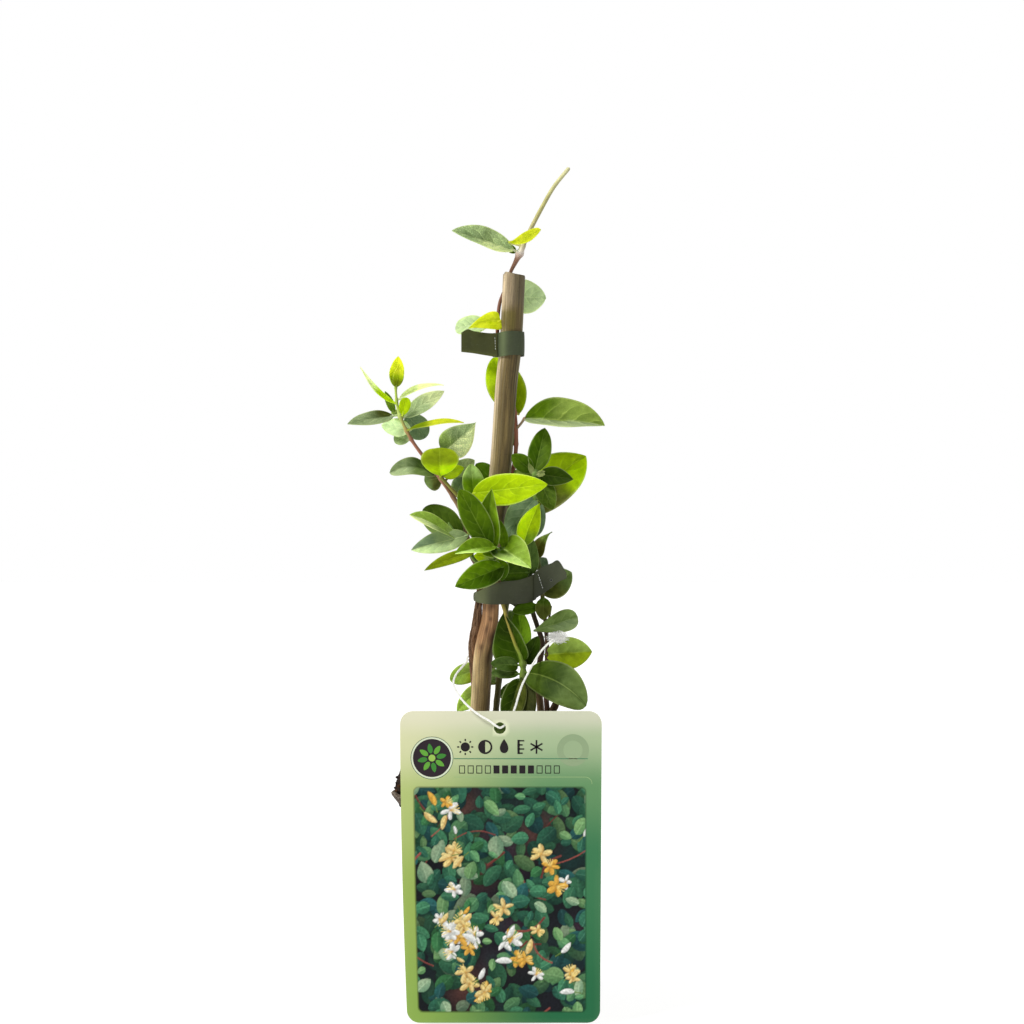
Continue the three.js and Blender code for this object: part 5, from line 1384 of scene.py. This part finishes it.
def thicket(picture, rng):
    """A generic hedge: leaves over deep shade, twigs, and loose white and yellow blossoms."""
    left, right, low, high = picture.x[0], picture.x[-1], picture.z[0], picture.z[-1]

    def spot(pad=0.0):
        return rng.uniform(left + pad, right - pad), rng.uniform(low + pad, high - pad)

    picture.ink[:] = lin((15, 21, 21))
    for tone, count in SHADES:
        for _ in range(count):
            picture.wash(*spot(), rng.uniform(4, 10), lin(tone), 0.7)
    for layer, leaves in enumerate(LAYER_LEAVES):
        depth = 0.4 + 0.6 * layer / (len(LAYER_LEAVES) - 1)
        for _ in range(leaves):
            x, z = spot(-4)
            size = rng.uniform(5.5, 12.5) * (1.05 - 0.1 * layer)
            light, dark = GREENS[int(rng.random() ** 1.5 * len(GREENS))]
            picture.blade(x, z, size, size * rng.uniform(0.5, 0.74), rng.uniform(0, 2 * math.pi),
                          lin(light) * depth, lin(dark) * depth, rng.uniform(0.6, 0.9), 0.35 * depth,
                          rng.uniform(-0.15, 0.15))
        for _ in range(5):
            x, z = spot()
            turn, bend = rng.uniform(0, 2 * math.pi), rng.uniform(-0.7, 0.7)
            reach = rng.uniform(9, 20)
            run = [polar(x, z, k * reach / 3, turn + bend * k / 3) for k in range(4)]
            picture.twig(run, rng.uniform(0.2, 0.4), lin((112, 66, 54)) * depth)
        # patches of shade between the layers
        dusk = 0.55 * (1 - layer / len(LAYER_LEAVES))
        for _ in range(5):
            picture.wash(*spot(), rng.uniform(3, 7), lin((18, 24, 28)), dusk)
    picture.ink *= PICTURE_WARMTH
    white, cream, gold = lin((240, 240, 236)), lin((232, 216, 150)), lin((226, 176, 76))
    grey, ochre = lin((160, 164, 160)), lin((168, 118, 44))
    clumps = [spot(5) for _ in range(CLUMPS)]
    for _ in range(BLOSSOMS):
        cx, cz = clumps[rng.randrange(len(clumps))]
        x, z = cx + rng.gauss(0, 5.0), cz + rng.gauss(0, 6.5)
        kind = rng.random()
        light, dark = (white, grey) if kind < 0.5 else (cream, ochre) if kind < 0.75 else (gold, ochre)
        reach = rng.uniform(2.4, 4.8)
        start = rng.uniform(0, 2 * math.pi)
        if rng.random() < 0.4:
            # a bud: a slim pointed oval on a thin stalk
            picture.twig([polar(x, z, -3, start), (x, z)], 0.15, lin((98, 122, 58)))
            picture.blade(x, z, reach * 1.5, reach * 0.6, start, light, dark, 0.7, 0.2, 0.2)
            continue
        for j in range(5):
            picture.blade(x, z, reach * rng.uniform(0.8, 1.2), reach * rng.uniform(0.42, 0.62),
                          start + 2 * math.pi * j / 5 + rng.uniform(-0.25, 0.25), light, dark, 0.5, 0.15,
                          rng.uniform(-0.2, 0.2))
        for j in range(4):
            picture.twig([(x, z), polar(x, z, reach * 0.9, start + 0.35 * j)], 0.12, lin((222, 196, 118)))
        picture.wash(x, z, 0.7, ochre, 0.8)
    grain = field(xyz(picture.x, picture.z[:, None], 0), 0.9, 3.0)
    picture.ink *= (1 + 0.4 * grain)[..., None]


def picture_panel(skin):
    """The picture, in a rounded frame that leans in with the card's left edge."""
    left, right, low, high = PANEL
    picture = Picture(left, right, low, high, PICTURE_CELL)
    thicket(picture, random.Random(29))
    x, z = np.meshgrid(picture.x, picture.z)
    from_side, from_end = np.minimum(x - left, right - x), np.minimum(z - low, high - z)
    r = PANEL_CORNER
    out_x, out_z = np.maximum(r - from_side, 0), np.maximum(r - from_end, 0)
    inset = np.where((out_x > 0) & (out_z > 0), r - np.hypot(out_x, out_z), np.minimum(from_side, from_end))
    leaned = x + (right - x) / (right - left) * (card_left(z) - CARD_LEFT) * 0.75
    ground = card_ink(leaned, z)
    ink = mix(picture.ink, ground * 0.55, 1 - smooth(0.2, 0.9, inset))
    ink = mix(ink, ground, 1 - smooth(-0.15, 0.15, inset))
    skin.grid(xyz(leaned, ink_layer(1), z), ink)


def label():
    """The card with its badge, care signs, row of months and picture."""
    skin = card()
    dark = lin(INK)

    def stamp(outline, level=2, tint=dark):
        """Prints a flat shape, from an outline of x, z points, at a layer of ink."""
        skin.flat([(x, ink_layer(level), z) for x, z in outline], [range(len(outline))], tint)

    # badge: a dark disc in a pale ring, with a plain eight-petalled sun
    for level, r, tone in ((1, 9.3, (62, 92, 70)), (2, 9.05, (206, 216, 190)), (3, 8.3, (46, 38, 44)),
                           (5, 1.5, (146, 184, 84))):
        stamp(disc(*BADGE, r), level, lin(tone))
    for k, turn in enumerate(circle(8) + 0.2):
        tone = (96, 158, 60) if k % 2 else (62, 128, 54)
        stamp(petal(*polar(*BADGE, 2.0, turn), 4.4, 2.2, turn), 4, lin(tone))
    # first row: care signs for sun, half shade, water, height and frost
    sun, shade, drop, rule, frost = ((x, SIGNS_Z) for x in (-13.6, -4.9, 3.3, 9.6, 17.4))
    stamp(disc(*sun, 2.0))
    for a in circle(8):
        stamp(bar(*polar(*sun, 2.6, a), *polar(*sun, 3.5, a), 0.32))
    stamp(disc(*shade, 3.1))
    stamp(disc(*shade, 2.3, 24, -90, 90), 3, card_ink(*shade))
    stamp([(drop[0] + 2.4 * math.sin(a) * (0.5 - 0.5 * math.cos(a)) ** 0.5, drop[1] + 0.4 + 3.1 * math.cos(a))
           for a in circle(32)])
    stamp(bar(rule[0], SIGNS_Z - 3.1, rule[0], SIGNS_Z + 3.1, 0.5))
    for k in range(4):
        z = SIGNS_Z - 2.7 + 1.8 * k
        stamp(bar(rule[0], z, rule[0] + 1.8 + 0.7 * (k % 2), z, 0.3))
    for a in circle(6)[:3] + math.pi / 2:
        stamp(bar(*polar(*frost, -3, a), *polar(*frost, 3, a), 0.36))
    # rule, and a calendar strip of twelve months, the flowering ones filled in
    stamp(bar(RULE_LEFT, RULE_Z, 39.8, RULE_Z, 0.16), 2, lin((66, 124, 92)))
    for k in range(12):
        x = -15.0 + MONTH_PITCH * k
        stamp(bar(x - 1.3, MONTHS_Z, x + 1.3, MONTHS_Z, 1.75))
        if k not in IN_FLOWER:
            stamp(bar(x - 0.95, MONTHS_Z, x + 0.95, MONTHS_Z, 1.4), 3, card_ink(x, MONTHS_Z))
    for level, r, strength in ((1, 7.0, 0.82), (2, 4.2, 0.93)):
        stamp(disc(*GHOST, r), level, card_ink(*GHOST) * strength)
    # a thin pale line over the picture, turning down at its right end
    line = [(RULE_LEFT, LINE_Z)] + disc(38.6, LINE_Z - 3.0, 3.0, 8, 0, 90)[::-1]
    for p, q in zip(line, line[1:]):
        stamp(bar(*p, *q, 0.12), 1, card_ink(0, LINE_Z) * 1.22)
    picture_panel(skin)
    return stands_for(skin.make("plant_label", [PRINT], 40), "label_card")


label()


# ---- floor, light and world ------------------------------------------------------------------
def stage_material():
    """A pale floor that glows, so that it comes out white."""
    n = Nodes("studio_floor")
    face = n.principled(n.blend(n.noise(6.0), (0.33, 0.33, 0.33), (0.36, 0.36, 0.36)), 0.9,
                        gloss=0.1)
    glow = n.new("Emission", {"Color": (1, 1, 1), "Strength": 0.78}).outputs[0]
    return n.finish(n.new("AddShader", {0: face, 1: glow}).outputs[0])


floor_skin = Skin()
corners = np.array([[(-6000, -3000, 0), (6000, -3000, 0)], [(-6000, 9000, 0), (6000, 9000, 0)]], float)
floor_skin.grid(corners, (1, 1, 1))
floor = floor_skin.make("floor", [stage_material()])

MIDDLE = (0, 0, 0.2)     # what the lamps aim at, in metres


def lamp(name, kind, place, energy, size, colour=(1, 1, 1)):
    data = bpy.data.lights.new(name, kind)
    data.energy = energy
    data.color = colour
    if kind == "SUN":
        data.angle = size
    else:
        data.shape = "DISK"
        data.size = size
    made = bpy.data.objects.new(name, data)
    scene.collection.objects.link(made)
    made.location = place
    made.rotation_euler = (Vector(MIDDLE) - Vector(place)).to_track_quat("-Z", "Y").to_euler()


lamp("key", "SUN", (-0.9, -0.9, 1.5), 2.4, 0.3, (1.0, 0.985, 0.94))
lamp("rim", "SUN", (0.5, 1.2, 1.1), 1.6, 0.5, (1.0, 0.99, 0.95))
lamp("fill", "AREA", (1.2, -1.6, 0.5), 4, 1.4)

# the camera sees a white background, which lights the plant only faintly
sky = Nodes("studio", "worlds", "OutputWorld")
light = sky.new("Background", {"Color": (0.97, 0.985, 1.0), "Strength": 0.3}).outputs[0]
seen = sky.new("Background", {"Color": (1, 1, 1), "Strength": 1.0}).outputs[0]
to_camera = sky.new("LightPath").outputs["Is Camera Ray"]
scene.world = sky.finish(sky.new("MixShader", {0: to_camera, 1: light, 2: seen}).outputs[0])
scene.view_settings.view_transform = "Standard"
scene.view_settings.look = "None"
